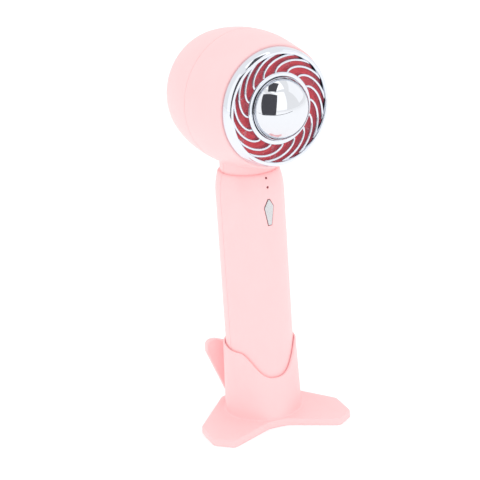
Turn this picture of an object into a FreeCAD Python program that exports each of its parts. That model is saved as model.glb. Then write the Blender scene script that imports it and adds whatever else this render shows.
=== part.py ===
import FreeCAD, Part
import math
import os
import Sketcher

# A hand-held cooling fan that stands in a small moulded stand. Millimetres, +Z up.
# The origin is on the floor, on the axis of the stand's cup. The fan blows towards -Y.
# Three frames are used: the upright one, the stand's (turned a little about Z) and the head's,
# whose local Z points forward out of the grille, local Y up and whose origin is the head's centre.

Vector = FreeCAD.Vector
doc = FreeCAD.newDocument("cooling_fan")

# ---------------------------------------------------------------- driving dimensions

DIMENSIONS = (
    ("handle_radius", 17.0, "outside of the round handle"),
    ("wall", 2.0, "wall of the four housing shells"),
    ("shell_bottom", 6.4, "lower end of the handle shells"),
    ("shoulder_start", 119.0, "where the handle starts to draw in"),
    ("handle_top", 131.0, "top face of the handle shells"),
    ("handle_top_radius", 15.2, "outside of the handle at its top face"),
    ("neck_radius", 14.1, "outside of the neck above the handle"),
    ("neck_wall", 1.5, "wall of the neck"),
    ("spigot_bottom", 126.0, "lower end of the neck's spigot inside the handle"),
    ("head_height", 166.9, "height of the head's centre above the floor"),
    ("head_radius", 33.45, "largest radius of the head"),
    ("crown_forward", 1.4, "largest section of the head, forward of the parting plane"),
    ("head_front_edge", 26.6, "front edge of the head shell, forward of the parting plane"),
    ("front_arc", 70.0, "radius of the head's front crown arc"),
    ("front_arc_run", 12.6, "length of that arc along the head's axis"),
    ("rear_arc", 80.0, "radius of the head's rear crown arc"),
    ("rear_arc_turn", 17.0, "degrees that the rear crown arc turns through"),
    ("corner_arc", 17.5, "radius of the head's rear corner"),
    ("corner_arc_turn", 85.0, "degrees from the crown to the end of the rear corner"),
    ("intake_slots", 24, "air slots in the head's rear"),
    ("intake_outer", 28.3, "outer end of the air slots"),
    ("intake_inner", 14.0, "inner end of the air slots"),
    ("intake_width", 2.2, "width of an air slot"),
    ("bezel_back_radius", 29.0, "bezel where it meets the head shell"),
    ("bezel_back", 26.7, "bezel's rear face"),
    ("bezel_front", 32.3, "bezel's front rim"),
    ("bezel_front_radius", 27.4, "radius of the front rim"),
    ("grille_outer", 25.8, "outer circle of the air openings"),
    ("grille_face", 31.5, "front face of the ribs"),
    ("rib_depth", 4.0, "depth of the ribs"),
    ("rib_width", 1.2, "width of a rib"),
    ("ribs", 16, "swept ribs"),
    ("rib_sweep", 48.0, "degrees from a rib's root to its tip"),
    ("rib_phase", 22.5, "degrees from the top to a rib's tip"),
    ("hub_ring_outer", 17.5, "hub ring, outside"),
    ("hub_ring_inner", 15.45, "hub ring, bore round the dome"),
    ("dome_sphere", 16.2, "radius of the dome's sphere"),
    ("dome_rim_radius", 15.2, "dome at its rim"),
    ("dome_rim", 33.2, "rim of the dome"),
    ("dome_back", 28.6, "rear face of the dome's skirt"),
    ("module_side", 20.0, "side of the square Peltier module"),
    ("module_thickness", 3.6, "thickness of the Peltier module"),
    ("pad_thickness", 0.5, "thermal pads on both faces of the module"),
    ("sink_radius", 14.6, "heat sink"),
    ("sink_plate", 2.0, "heat sink's base plate"),
    ("sink_fin", 4.2, "height of the heat sink's fins"),
    ("module_cup_radius", 16.6, "outside of the cup round the cooling module"),
    ("module_cup_back", 16.4, "rear lip of that cup"),
    ("blades", 7, "impeller blades"),
    ("blade_tip", 24.9, "radius of the impeller"),
    ("blade_front", 25.6, "leading corner of a blade"),
    ("blade_back", 3.6, "trailing corner of a blade"),
    ("blade_thickness", 1.1, "thickness of a blade"),
    ("impeller_hub", 11.5, "outside of the impeller's hub"),
    ("impeller_hub_front", 14.7, "front face of the impeller's hub"),
    ("rotor_radius", 10.3, "outside of the steel rotor can"),
    ("shaft_radius", 0.75, "motor shaft"),
    ("duct_inner", 25.5, "bore of the air duct"),
    ("duct_wall", 0.8, "wall of the air duct"),
    ("duct_front", 26.3, "front end of the air duct"),
    ("flange_back", 1.2, "rear face of the duct's flange"),
    ("flange_radius", 30.6, "outside of the duct's flange"),
    ("board_width", 15.6, "main board"),
    ("board_bottom", 99.0, "lower edge of the main board"),
    ("board_top", 130.5, "upper edge of the main board"),
    ("board_front", 9.2, "main board's front face, forward of the handle's axis"),
    ("board_thickness", 1.2, "main and charge boards"),
    ("button_bottom", 105.3, "lower end of the power button"),
    ("button_top", 118.3, "upper point of the power button"),
    ("button_widest", 114.6, "height of the button's widest place"),
    ("button_half_width", 2.6, "half of the button's greatest width"),
    ("button_foot", 0.9, "half of the button's width at its lower end"),
    ("button_gap", 0.35, "gap round the button"),
    ("button_proud", 0.35, "how far the button stands out of the handle"),
    ("button_travel", 0.4, "travel of the button"),
    ("light_low", 124.5, "height of the lower indicator light"),
    ("light_high", 129.0, "height of the upper indicator light"),
    ("light_radius", 0.6, "radius of an indicator light"),
    ("cell_radius", 9.1, "battery cell"),
    ("cell_bottom", 20.0, "lower end of the battery cell"),
    ("cell_length", 65.0, "length of the battery cell"),
    ("port_height", 97.7, "centre of the charging port"),
    ("port_width", 8.94, "width of the charging port's metal shell"),
    ("port_thickness", 3.26, "height of the charging port's metal shell"),
    ("screw_low", 12.5, "height of the lower housing screw"),
    ("screw_high", 90.2, "height of the upper housing screw"),
    ("stand_turn", -12.0, "degrees that the stand's front is turned from the fan's front"),
    ("base_thickness", 3.8, "plate of the stand on the floor"),
    ("base_round", 0.9, "rounding of that plate's upper edge"),
    ("cup_gap", 0.3, "gap between the handle and the cup"),
    ("cup_foot_radius", 19.45, "outside of the cup at the plate"),
    ("cup_top_radius", 18.35, "outside of the cup at its rim"),
    ("cup_top", 40.8, "highest part of the cup's rim"),
    ("rim_scoop", 25.7, "lowest part of the cup's rim, in front"),
    ("rim_ledge", 39.2, "part of the cup's rim on the left"),
    ("base_reach", 37.0, "half of the floor plate's greatest width"),
    ("base_front", 34.0, "the floor plate's forward corners, ahead of the axis"),
    ("base_back", 22.2, "rear edge of the floor plate, behind the axis"),
    ("plate_distance", 17.6, "front face of the upright plate behind the axis"),
    ("plate_thickness", 4.0, "thickness of the upright plate"),
    ("plate_top", 37.2, "top edge of the upright plate"),
    ("plate_half_width", 22.6, "half of the upright plate's greatest width"),
)

sheet = doc.addObject("Spreadsheet::Sheet", "dims")
for row, (alias, value, meaning) in enumerate(DIMENSIONS, start=1):
    sheet.set("A%d" % row, meaning)
    sheet.set("B%d" % row, str(value))
    sheet.setAlias("B%d" % row, alias)
doc.recompute()


def size(alias):
    """The number that the sheet holds under this alias."""
    return float(sheet.get(alias))


HEAD = FreeCAD.Placement(Vector(0, 0, size("head_height")), FreeCAD.Rotation(Vector(1, 0, 0), 90))
STAND = FreeCAD.Placement(Vector(), FreeCAD.Rotation(Vector(0, 0, 1), size("stand_turn")))
UPRIGHT = FreeCAD.Placement()
BACKWARD = FreeCAD.Placement(Vector(), FreeCAD.Rotation(Vector(0, 0, 1), 180))

pieces = []                 # every object that is written out, in order


# ---------------------------------------------------------------- ways of building

def plane_of(body, role):
    """One of a body's own origin planes or axes."""
    return next(item for item in body.Origin.OriginFeatures if item.Role == role)


def new_body(label, frame):
    """An empty PartDesign body, which becomes one piece."""
    body = doc.addObject("PartDesign::Body", label)
    body.Label = label
    body.Placement = frame
    pieces.append(body)
    return body


def new_sketch(body, role, level=None):
    """A sketch on one of the body's origin planes, moved off it by the expression level."""
    sketch = body.newObject("Sketcher::SketchObject", body.Name + "_sketch")
    sketch.AttachmentSupport = (plane_of(body, role), [""])
    sketch.MapMode = "FlatFace"
    if level is not None:
        sketch.setExpression("AttachmentOffset.Base.z", level)
    return sketch


def pin_point(sketch, item, end, across, up, start):
    """Ties one end of a sketch item to the origin by two expressions. "0" lies on the axis itself."""
    ties = ((across, "DistanceX", -2, start.x), (up, "DistanceY", -1, start.y))
    for expression, kind, axis, first in ties:
        if expression == "0":
            sketch.addConstraint(Sketcher.Constraint("PointOnObject", item, end, axis))
        else:
            index = sketch.addConstraint(Sketcher.Constraint(kind, -1, 1, item, end, first))
            sketch.setExpression("Constraints[%d]" % index, expression)


def draw_outline(sketch, corners):
    """A closed outline of straight lines whose corners are pairs of expressions."""
    count = len(corners)
    first_item = sketch.GeometryCount
    starts = []
    for index in range(count):
        turn = 2 * math.pi * index / count
        starts.append(Vector(20 + 10 * math.cos(turn), 10 * math.sin(turn), 0))
    for index in range(count):
        sketch.addGeometry(Part.LineSegment(starts[index], starts[(index + 1) % count]), False)
    for index in range(count):
        after = first_item + (index + 1) % count
        sketch.addConstraint(Sketcher.Constraint("Coincident", first_item + index, 2, after, 1))
    for index, (across, up) in enumerate(corners):
        pin_point(sketch, first_item + index, 1, across, up, starts[index])


def draw_circle(sketch, across, up, radius):
    """A circle whose centre and radius are expressions."""
    centre = Vector(1.0, 1.0, 0)
    item = sketch.addGeometry(Part.Circle(centre, Vector(0, 0, 1), 1.0), False)
    pin_point(sketch, item, 3, across, up, centre)
    index = sketch.addConstraint(Sketcher.Constraint("Radius", item, 1.0))
    sketch.setExpression("Constraints[%d]" % index, radius)


def rectangle(width, depth, across="0", up="0"):
    """Corners of a rectangle about a centre, as expressions."""
    left, right = "%s - (%s) / 2" % (across, width), "%s + (%s) / 2" % (across, width)
    low, high = "%s - (%s) / 2" % (up, depth), "%s + (%s) / 2" % (up, depth)
    return [(left, low), (right, low), (right, high), (left, high)]


def turned(label, frame, corners, angle=360.0):
    """A body turned about its local Z from corners given as (radius, height)."""
    body = new_body(label, frame)
    sketch = new_sketch(body, "XZ_Plane")
    draw_outline(sketch, corners)
    turn = body.newObject("PartDesign::Revolution", label + "_turn")
    turn.Profile = sketch
    turn.ReferenceAxis = (sketch, ["V_Axis"])
    turn.Angle = angle
    doc.recompute()
    return body


def add_turn(body, corners):
    """Adds a full turn of another outline to a body."""
    sketch = new_sketch(body, "XZ_Plane")
    draw_outline(sketch, corners)
    turn = body.newObject("PartDesign::Revolution", body.Name + "_added_turn")
    turn.Profile = sketch
    turn.ReferenceAxis = (sketch, ["V_Axis"])
    turn.Angle = 360.0
    doc.recompute()


def padded(label, frame, level, thickness, corners=None, circle=None):
    """A body padded along its local Z, from level, by thickness."""
    body = new_body(label, frame)
    add_pad(body, "XY_Plane", level, thickness, corners=corners, circle=circle)
    return body


def add_feature(body, kind, role, level, depth, corners, circle, backward):
    """A pad or a pocket from a sketch on one of the origin planes."""
    sketch = new_sketch(body, role, level)
    if corners is not None:
        draw_outline(sketch, corners)
    if circle is not None:
        draw_circle(sketch, *circle)
    feature = body.newObject("PartDesign::" + kind, "%s_%s" % (body.Name, kind.lower()))
    feature.Profile = sketch
    feature.setExpression("Length", depth)
    feature.Reversed = backward
    doc.recompute()
    return feature


def add_pad(body, role, level, length, corners=None, circle=None, backward=False):
    return add_feature(body, "Pad", role, level, length, corners, circle, backward)


def add_pocket(body, role, level, length, corners=None, circle=None, backward=False):
    """A pocket that has to take material away."""
    before = body.Shape.Volume
    feature = add_feature(body, "Pocket", role, level, length, corners, circle, backward)
    if body.Shape.Volume > before - 0.01:
        raise RuntimeError("a pocket in %s cuts nothing" % body.Label)
    return feature


def ring_pattern(body, feature, count):
    """Repeats a feature round the body's local Z."""
    pattern = body.newObject("PartDesign::PolarPattern", body.Name + "_ring")
    pattern.Originals = [feature]
    pattern.Axis = (plane_of(body, "Z_Axis"), [""])
    pattern.Angle = 360.0
    pattern.setExpression("Occurrences", count)
    body.Tip = pattern
    doc.recompute()


def row_pattern(body, feature, role, length, count):
    """Repeats a feature in a straight row of the given length."""
    pattern = body.newObject("PartDesign::LinearPattern", body.Name + "_row")
    pattern.Originals = [feature]
    pattern.Direction = (plane_of(body, role), [""])
    pattern.setExpression("Length", length)
    pattern.Occurrences = count
    body.Tip = pattern
    doc.recompute()


def round_edges(body, radius, wanted):
    """Fillets the edges of the body for which wanted(edge) is true."""
    base = body.Tip
    edges = base.Shape.Edges
    names = ["Edge%d" % (index + 1) for index, edge in enumerate(edges) if wanted(edge)]
    fillet = body.newObject("PartDesign::Fillet", body.Name + "_round")
    fillet.Base = (base, names)
    fillet.setExpression("Radius", radius)
    body.Tip = fillet
    doc.recompute()


def circle_at(radius, height):
    """Picks the round edges of this radius at this height in the body's own frame."""
    def wanted(edge):
        curve = edge.Curve
        if not isinstance(curve, Part.Circle):
            return False
        return abs(curve.Radius - radius) < 0.01 and abs(curve.Center.z - height) < 0.01
    return wanted


def block(name, length, width, height, corner):
    """A Part::Box whose sizes and corner are expressions."""
    box = doc.addObject("Part::Box", name)
    for key, expression in (("Length", length), ("Width", width), ("Height", height)):
        box.setExpression(key, expression)
    for key, expression in zip("xyz", corner):
        box.setExpression("Placement.Base." + key, expression)
    return box


def rod(name, radius, height, foot, turn=None):
    """A Part::Cylinder whose sizes and foot are expressions, standing along turn's Z."""
    cylinder = doc.addObject("Part::Cylinder", name)
    cylinder.setExpression("Radius", radius)
    cylinder.setExpression("Height", height)
    if turn is not None:
        cylinder.Placement = FreeCAD.Placement(Vector(), turn)
    for key, expression in zip("xyz", foot):
        cylinder.setExpression("Placement.Base." + key, expression)
    return cylinder


def combine(kind, label, base, tools):
    """A Part boolean of one base and its tools: Cut, Fuse or Compound."""
    if kind == "Cut":
        result = doc.addObject("Part::Cut", label)
        result.Base = base
        result.Tool = tools[0] if len(tools) == 1 else combine("Fuse", label + "_tools", tools[0], tools[1:])
    elif kind == "Fuse":
        result = doc.addObject("Part::MultiFuse", label)
        result.Shapes = [base] + tools
    else:
        result = doc.addObject("Part::Compound", label)
        result.Links = [base] + tools
    result.Label = label
    return result


def keep(piece, frame=UPRIGHT):
    """Takes a finished Part object as one piece, placed in its frame."""
    piece.Placement = frame
    pieces.append(piece)
    return piece


def feature_piece(label, shape, frame=UPRIGHT):
    """A piece whose shape is worked out with Part's own functions."""
    piece = doc.addObject("Part::Feature", label)
    piece.Label = label
    piece.Shape = shape
    piece.Placement = frame
    pieces.append(piece)
    return piece


FORWARD = FreeCAD.Rotation(Vector(1, 0, 0), 90)         # turns +Z to -Y
REARWARD = FreeCAD.Rotation(Vector(1, 0, 0), -90)       # turns +Z to +Y


def tube(inner, outer, low, high):
    """A plain ring about Z, as a shape."""
    ring = Part.makeCylinder(outer, high - low, Vector(0, 0, low))
    return ring.cut(Part.makeCylinder(inner, high - low, Vector(0, 0, low)))


def smooth_curve(points):
    """A B-spline through points, as an edge."""
    curve = Part.BSplineCurve()
    curve.interpolate(points)
    return curve.toShape()


# ---------------------------------------------------------------- stand

def ramp(angle, start, end):
    """Rises smoothly from 0 to 1 while the angle goes from start to end."""
    share = min(max((angle - start) / (end - start), 0.0), 1.0)
    return 0.5 - 0.5 * math.cos(math.pi * share)


def rim_height(angle):
    """Height of the cup's wavy rim, angle in degrees from the stand's front, positive to +X.

    A low scoop in front rises to the full height on the right, and to a ledge and then to the
    full height on the left.
    """
    scoop, ledge, top = size("rim_scoop"), size("rim_ledge"), size("cup_top")
    lowest, right_end, left_end, ledge_end, climb_end = 5.0, 68.0, 55.0, 60.0, 110.0
    if angle > lowest:
        return scoop + (top - scoop) * ramp(angle, lowest, right_end) ** 1.4
    rise = ramp(-angle, -lowest, left_end) ** 1.45
    return scoop + (ledge - scoop) * rise + (top - ledge) * ramp(-angle, ledge_end, climb_end)


def rim_cutter():
    """The solid above the rim, which leaves the wavy edge when it is cut away."""
    steps = 60
    loops = []
    for radius in (10.0, 30.0):
        points = []
        for index in range(steps):
            angle = -180.0 + 360.0 * index / steps
            turn = math.radians(angle)
            points.append(Vector(radius * math.sin(turn), -radius * math.cos(turn), rim_height(angle)))
        curve = Part.BSplineCurve()
        curve.interpolate(Points=points, PeriodicFlag=True)
        loops.append(Part.Wire([curve.toShape()]))
    surface = Part.makeRuledSurface(loops[0], loops[1])
    return surface.extrude(Vector(0, 0, 40))


def rounded_prism(corners, lift):
    """A prism on (point, rounding) corners, raised by lift, with each of its upright edges rounded."""
    points = [point for point, rounding in corners]
    prism = Part.Face(Part.makePolygon(points + points[:1])).extrude(lift)
    for point, rounding in corners:
        if rounding > 0:
            middle = point + lift * 0.5
            edge = next(item for item in prism.Edges if item.CenterOfMass.distanceToPoint(middle) < 0.01)
            prism = prism.makeFillet(rounding, [edge])
    return prism


def both_sides(half):
    """Corners of one side and their mirror images across X, in order round the outline."""
    other = [(Vector(-point.x, point.y, point.z), rounding) for point, rounding in half]
    return half + other[::-1]


def floor_plate():
    """The plate on the floor, with two broad flukes that reach forward and outward."""
    reach, front, back = size("base_reach"), size("base_front"), size("base_back")
    half = [(Vector(5.0, -21.2, 0), 8.0), (Vector(28.2, -front, 0), 2.5), (Vector(reach, -26.6, 0), 4.0),
            (Vector(reach, -9.2, 0), 4.5), (Vector(14.8, back, 0), 4.0)]
    thickness = size("base_thickness")
    plate = rounded_prism(both_sides(half), Vector(0, 0, thickness))
    top_edges = [edge for edge in plate.Edges if edge.BoundBox.ZMin > thickness - 0.01]
    return plate.makeFillet(size("base_round"), top_edges)


def upright_plate():
    """The plate behind the cup, which widens upwards and dips in the middle of its top edge."""
    distance, wide, top = size("plate_distance"), size("plate_half_width"), size("plate_top")
    low = size("base_thickness") - 1.0
    half = [(Vector(12.0, distance, low), 0.0), (Vector(13.3, distance, 7.5), 0.0),
            (Vector(wide, distance, 31.0), 0.0), (Vector(wide, distance, top), 3.4),
            (Vector(17.0, distance, top), 3.0), (Vector(11.5, distance, top - 2.0), 3.0)]
    return rounded_prism(both_sides(half), Vector(0, size("plate_thickness"), 0))


def stand_shape():
    """Cup, floor plate with two flukes and the upright plate, moulded in one."""
    low, high = size("base_thickness") - 1.0, size("cup_top") + 2.0
    foot, rim = size("cup_foot_radius"), size("cup_top_radius")
    cup = Part.makeCone(foot, rim, high - low, Vector(0, 0, low)).cut(rim_cutter())
    floor = Vector(0, 0, size("base_thickness"))
    bore = Part.makeCylinder(size("handle_radius") + size("cup_gap"), size("cup_top"), floor)
    return floor_plate().fuse([cup, upright_plate()]).cut(bore)


feature_piece("stand", stand_shape(), STAND)


# ---------------------------------------------------------------- handle

SCREWS = ("dims.screw_low", "dims.screw_high")


def handle_profile():
    """Half of the handle's wall, (radius, height), with the shoulder that draws in to the top face."""
    inner, spigot_bore = "dims.handle_radius - dims.wall", "dims.handle_top_radius - 1.5"
    outline = [(inner, "dims.shell_bottom"), ("dims.handle_radius", "dims.shell_bottom"),
               ("dims.handle_radius", "dims.shoulder_start")]
    for share in (0.35, 0.57, 0.8, 0.92):
        radius = "dims.handle_radius - (dims.handle_radius - dims.handle_top_radius) * %.3f" % share ** 2.2
        height = "dims.shoulder_start + (dims.handle_top - dims.shoulder_start) * %.2f" % share
        outline.append((radius, height))
    return outline + [("dims.handle_top_radius + 0.1", "dims.handle_top - 0.35"),
                      ("dims.handle_top_radius - 0.3", "dims.handle_top"), (spigot_bore, "dims.handle_top"),
                      (spigot_bore, "dims.spigot_bottom"), (inner, "dims.spigot_bottom - 4")]


def kite(grow):
    """Corners of the kite-shaped button seen from the front, grown by an expression."""
    wide = "dims.button_half_width + " + grow
    foot = "dims.button_foot + " + grow
    low = "dims.button_bottom - " + grow
    high = "dims.button_top + " + grow
    return [("-(%s)" % foot, low), (foot, low), (wide, "dims.button_widest"), ("0.35", high),
            ("-0.35", high), ("-(%s)" % wide, "dims.button_widest")]


def handle_front_shell():
    """Front half of the handle. Both halves are drawn with their local Y pointing outwards."""
    body = turned("handle_front_shell", BACKWARD, handle_profile(), 180.0)
    add_pocket(body, "XZ_Plane", None, "40", corners=kite("dims.button_gap"))
    for light in ("dims.light_low", "dims.light_high"):
        add_pocket(body, "XZ_Plane", None, "40", circle=("0", light, "dims.light_radius + 0.05"))
    for screw in SCREWS:
        add_pad(body, "XZ_Plane", None, "dims.handle_radius - 1", circle=("0", screw, "3"), backward=True)
        add_pocket(body, "XZ_Plane", None, "9", circle=("0", screw, "1.12"))


def handle_rear_shell():
    """Rear half of the handle, with the opening for the charging port and the screw wells."""
    body = turned("handle_rear_shell", UPRIGHT, handle_profile(), 180.0)
    port = rectangle("dims.port_width + 0.5", "dims.port_thickness + 0.5", up="dims.port_height")
    add_pocket(body, "XZ_Plane", None, "40", corners=port)
    for screw in SCREWS:
        add_pad(body, "XZ_Plane", None, "dims.handle_radius - 1", circle=("0", screw, "3.4"), backward=True)
        add_pocket(body, "XZ_Plane", None, "40", circle=("0", screw, "1.3"))
        add_pocket(body, "XZ_Plane", "-8", "30", circle=("0", screw, "2.7"))


handle_front_shell()
handle_rear_shell()
end_cap = turned("handle_end_cap", UPRIGHT, [
    ("0", "dims.base_thickness + 0.2"), ("dims.handle_radius", "dims.base_thickness + 0.2"),
    ("dims.handle_radius", "dims.shell_bottom"),
    ("dims.handle_radius - dims.wall - 0.1", "dims.shell_bottom"),
    ("dims.handle_radius - dims.wall - 0.1", "dims.shell_bottom + 1.8"), ("0", "dims.shell_bottom + 1.8")])
round_edges(end_cap, "1.2", circle_at(size("handle_radius"), size("base_thickness") + 0.2))

screws = []
for screw in SCREWS:
    shank = rod("housing_shank", "1.1", "16", ("0", "-8", screw), REARWARD)
    head = rod("housing_head", "2.5", "1.8", ("0", "8", screw), REARWARD)
    socket = rod("housing_socket", "0.8", "1.2", ("0", "8.6", screw), REARWARD)
    screws.append(combine("Cut", "housing_screw", combine("Fuse", "housing_blank", shank, [head]), [socket]))
keep(combine("Compound", "housing_screws", screws[0], screws[1:]))


# ---------------------------------------------------------------- battery

turned("battery_cell", UPRIGHT, [
    ("0", "dims.cell_bottom"), ("dims.cell_radius - 0.6", "dims.cell_bottom"),
    ("dims.cell_radius", "dims.cell_bottom + 0.6"),
    ("dims.cell_radius", "dims.cell_bottom + dims.cell_length - 2.6"),
    ("dims.cell_radius - 0.5", "dims.cell_bottom + dims.cell_length - 2.1"),
    ("dims.cell_radius - 0.5", "dims.cell_bottom + dims.cell_length - 1.4"),
    ("3.2", "dims.cell_bottom + dims.cell_length - 1.4"), ("3.2", "dims.cell_bottom + dims.cell_length"),
    ("0", "dims.cell_bottom + dims.cell_length")])
tabs = [block("tab_low", "6", "12", "0.2", ("-3", "-6", "dims.cell_bottom - 0.2")),
        block("tab_high", "6", "12", "0.2", ("-3", "-6", "dims.cell_bottom + dims.cell_length"))]
keep(combine("Compound", "battery_tabs", tabs[0], tabs[1:]))
foams = [rod("foam_low", "8", "3.2", ("0", "0", "dims.cell_bottom - 3.5")),
         rod("foam_high", "8", "1.2", ("0", "0", "dims.cell_bottom + dims.cell_length + 0.25"))]
keep(combine("Compound", "battery_foam_pads", foams[0], foams[1:]))


leads = [rod("lead_plus", "0.5", "dims.board_bottom - 80", ("7.2", "-8.6", "80")),
         rod("lead_minus", "0.5", "dims.board_bottom - 24", ("-7.2", "-8.6", "24"))]
keep(combine("Compound", "battery_leads", leads[0], leads[1:]))


# ---------------------------------------------------------------- main board, button and lights

BOARD_CORNER = ("-dims.board_width / 2", "-dims.board_front", "dims.board_bottom")
pieces.append(block("main_board", "dims.board_width", "dims.board_thickness",
                    "dims.board_top - dims.board_bottom", BOARD_CORNER))

SWITCH_HEIGHT = "(dims.button_top + dims.button_bottom) / 2"
switch = block("switch_case", "5", "2.4", "5", ("-2.5", "-dims.board_front - 2.4", SWITCH_HEIGHT + " - 2.5"))
well = rod("switch_well", "1.15", "1.6", ("0", "-dims.board_front - 0.8", SWITCH_HEIGHT), FORWARD)
keep(combine("Cut", "switch_body", switch, [well]))
plunger = rod("switch_plunger", "1", "1.5", ("0", "-dims.board_front - 1.3", SWITCH_HEIGHT), FORWARD)
pieces.append(plunger)

chips = [block("led_chip", "1.6", "0.7", "0.8", ("-0.8", "-dims.board_front - 0.7", light + " - 0.4"))
         for light in ("dims.light_low", "dims.light_high")]
keep(combine("Compound", "led_chips", chips[0], chips[1:]))
lenses = [rod("light_pipe", "dims.light_radius", "2.6", ("0", "-14", "dims.light_low"), FORWARD),
          rod("light_pipe", "dims.light_radius", "2.9", ("0", "-12.8", "dims.light_high"), FORWARD)]
keep(combine("Compound", "led_lenses", lenses[0], lenses[1:]))


def power_button():
    """Kite-shaped cap that follows the handle's round, with a retaining flange and a stem inside."""
    low, high, wide = size("button_bottom"), size("button_top"), size("button_widest")
    radius, travel = size("handle_radius"), size("button_travel")

    def kite_face(grow, y):
        half, foot = size("button_half_width") + grow, size("button_foot") + grow
        corners = [(-foot, low - grow), (foot, low - grow), (half, wide), (0.35, high + grow),
                   (-0.35, high + grow), (-half, wide)]
        points = [Vector(x, y, z) for x, z in corners]
        return Part.Face(Part.makePolygon(points + points[:1]))

    cap = kite_face(0, -20).extrude(Vector(0, 5.6, 0))
    cap = cap.common(Part.makeCylinder(radius + size("button_proud"), 40, Vector(0, 0, low - 10)))
    flange_front = -(radius - size("wall")) + 0.65
    flange = kite_face(0.7, flange_front).extrude(Vector(0, 0.8, 0))
    cap = cap.fuse(kite_face(0, -14.6).extrude(Vector(0, 14.6 + flange_front, 0)))
    tip = -(size("board_front") + 1.3 + 1.5)
    stem_start = flange_front + 0.4
    middle = (low + high) / 2
    stem = Part.makeCylinder(1.2, tip - stem_start, Vector(0, stem_start, middle), Vector(0, 1, 0))
    return cap.fuse([flange, stem]).removeSplitter()


feature_piece("power_button", power_button())


# ---------------------------------------------------------------- charging port

BOARD_LEVEL = "dims.port_height - dims.port_thickness / 2 - dims.board_thickness"
pieces.append(block("charge_board", "12", "11", "dims.board_thickness", ("-6", "2.4", BOARD_LEVEL)))


def stadium(width, height, depth):
    """A solid with a round-ended section, along +Y from the origin."""
    radius = height / 2
    reach = width / 2 - radius
    body = Part.makeBox(2 * reach, depth, height, Vector(-reach, 0, -radius))
    ends = [Part.makeCylinder(radius, depth, Vector(x, 0, 0), Vector(0, 1, 0)) for x in (-reach, reach)]
    return body.fuse(ends).removeSplitter()


port_depth, port_wall, port_back = 7.3, 0.32, 0.6
port_start = 9.2                                        # rear face of the port's shell, behind the axis


def in_port(depth):
    """A place on the port's axis, this deep from the rear face of its shell."""
    return FreeCAD.Placement(Vector(0, port_start + depth, size("port_height")), FreeCAD.Rotation())


outer = stadium(size("port_width"), size("port_thickness"), port_depth)
hollow = stadium(size("port_width") - 2 * port_wall, size("port_thickness") - 2 * port_wall, port_depth)
hollow.translate(Vector(0, port_back, 0))
feature_piece("usb_shell", outer.cut(hollow), in_port(0))
feature_piece("usb_tongue", stadium(6.7, 0.7, 4.6), in_port(port_back))


# ---------------------------------------------------------------- head shells

def head_profile(inset):
    """The head's outline moved inwards by inset, as edges in the plane of (radius, 0, forward)."""
    crown, middle = size("crown_forward"), size("head_radius")
    front, rear, corner = size("front_arc"), size("rear_arc"), size("corner_arc")
    start, end = math.radians(size("rear_arc_turn")), math.radians(size("corner_arc_turn"))

    def on_arc(centre, radius, angle):
        """A point on an arc, angle measured from the crown's direction, negative towards the front."""
        return Vector(centre[0] + radius * math.cos(angle), 0, centre[1] - radius * math.sin(angle))

    def arc(centre, radius, first, last):
        half = (first + last) / 2
        return Part.Arc(*[on_arc(centre, radius, angle) for angle in (first, half, last)]).toShape()

    front_centre = (middle - front, crown)
    rear_centre = (middle - rear, crown)
    corner_centre = (rear_centre[0] + (rear - corner) * math.cos(start),
                     rear_centre[1] - (rear - corner) * math.sin(start))
    cap = corner + corner_centre[0] / math.cos(end)
    cap_centre = (0.0, corner_centre[1] + (cap - corner) * math.sin(end))
    lead = -math.asin(size("front_arc_run") / front)
    bend = on_arc(front_centre, front - inset, lead)
    run = (size("head_front_edge") - bend.z) / math.cos(lead)
    lip = bend + Vector(run * math.sin(lead), 0, run * math.cos(lead))
    return [Part.LineSegment(lip, bend).toShape(),
            arc(front_centre, front - inset, lead, 0.0),
            arc(rear_centre, rear - inset, 0.0, start),
            arc(corner_centre, corner - inset, start, end),
            arc(cap_centre, cap - inset, end, math.pi / 2)]


def head_solid(inset):
    """The head's outline turned about its axis, closed in front."""
    edges = head_profile(inset)
    lip, apex = edges[0].Vertexes[0].Point, edges[-1].Vertexes[-1].Point
    middle = Vector(0, 0, lip.z)
    edges.append(Part.LineSegment(apex, middle).toShape())
    edges.append(Part.LineSegment(middle, lip).toShape())
    face = Part.Face(Part.Wire(Part.__sortEdges__(edges)))
    solid = face.revolve(Vector(), Vector(0, 0, 1), 360)
    solid.Placement = HEAD
    return solid


def head_shells():
    """The complete head with its neck, cut into a front and a rear moulding at the parting plane."""
    height = size("head_height")
    neck, wall = size("neck_radius"), size("neck_wall")
    outside, inside = head_solid(0.0), head_solid(size("wall"))
    stub = Part.makeCylinder(neck, height - size("handle_top"), Vector(0, 0, size("handle_top")))
    spigot_radius = size("handle_top_radius") - 1.6
    low = Vector(0, 0, size("spigot_bottom"))
    spigot = Part.makeCylinder(spigot_radius, size("handle_top") - size("spigot_bottom"), low)
    channel = Part.makeCylinder(neck - wall, height - size("spigot_bottom"), low)
    shell = outside.fuse([stub, spigot]).cut([inside, channel])
    light = Part.makeCylinder(0.9, 20, Vector(0, 0, size("light_high")), Vector(0, -1, 0))
    shell = shell.cut(light)
    far = 100.0
    front_half = Part.makeBox(2 * far, far, 3 * far, Vector(-far, -far, 0))
    rear_half = Part.makeBox(2 * far, far, 3 * far, Vector(-far, 0, 0))
    return shell.common(front_half), shell.common(rear_half)


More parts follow.
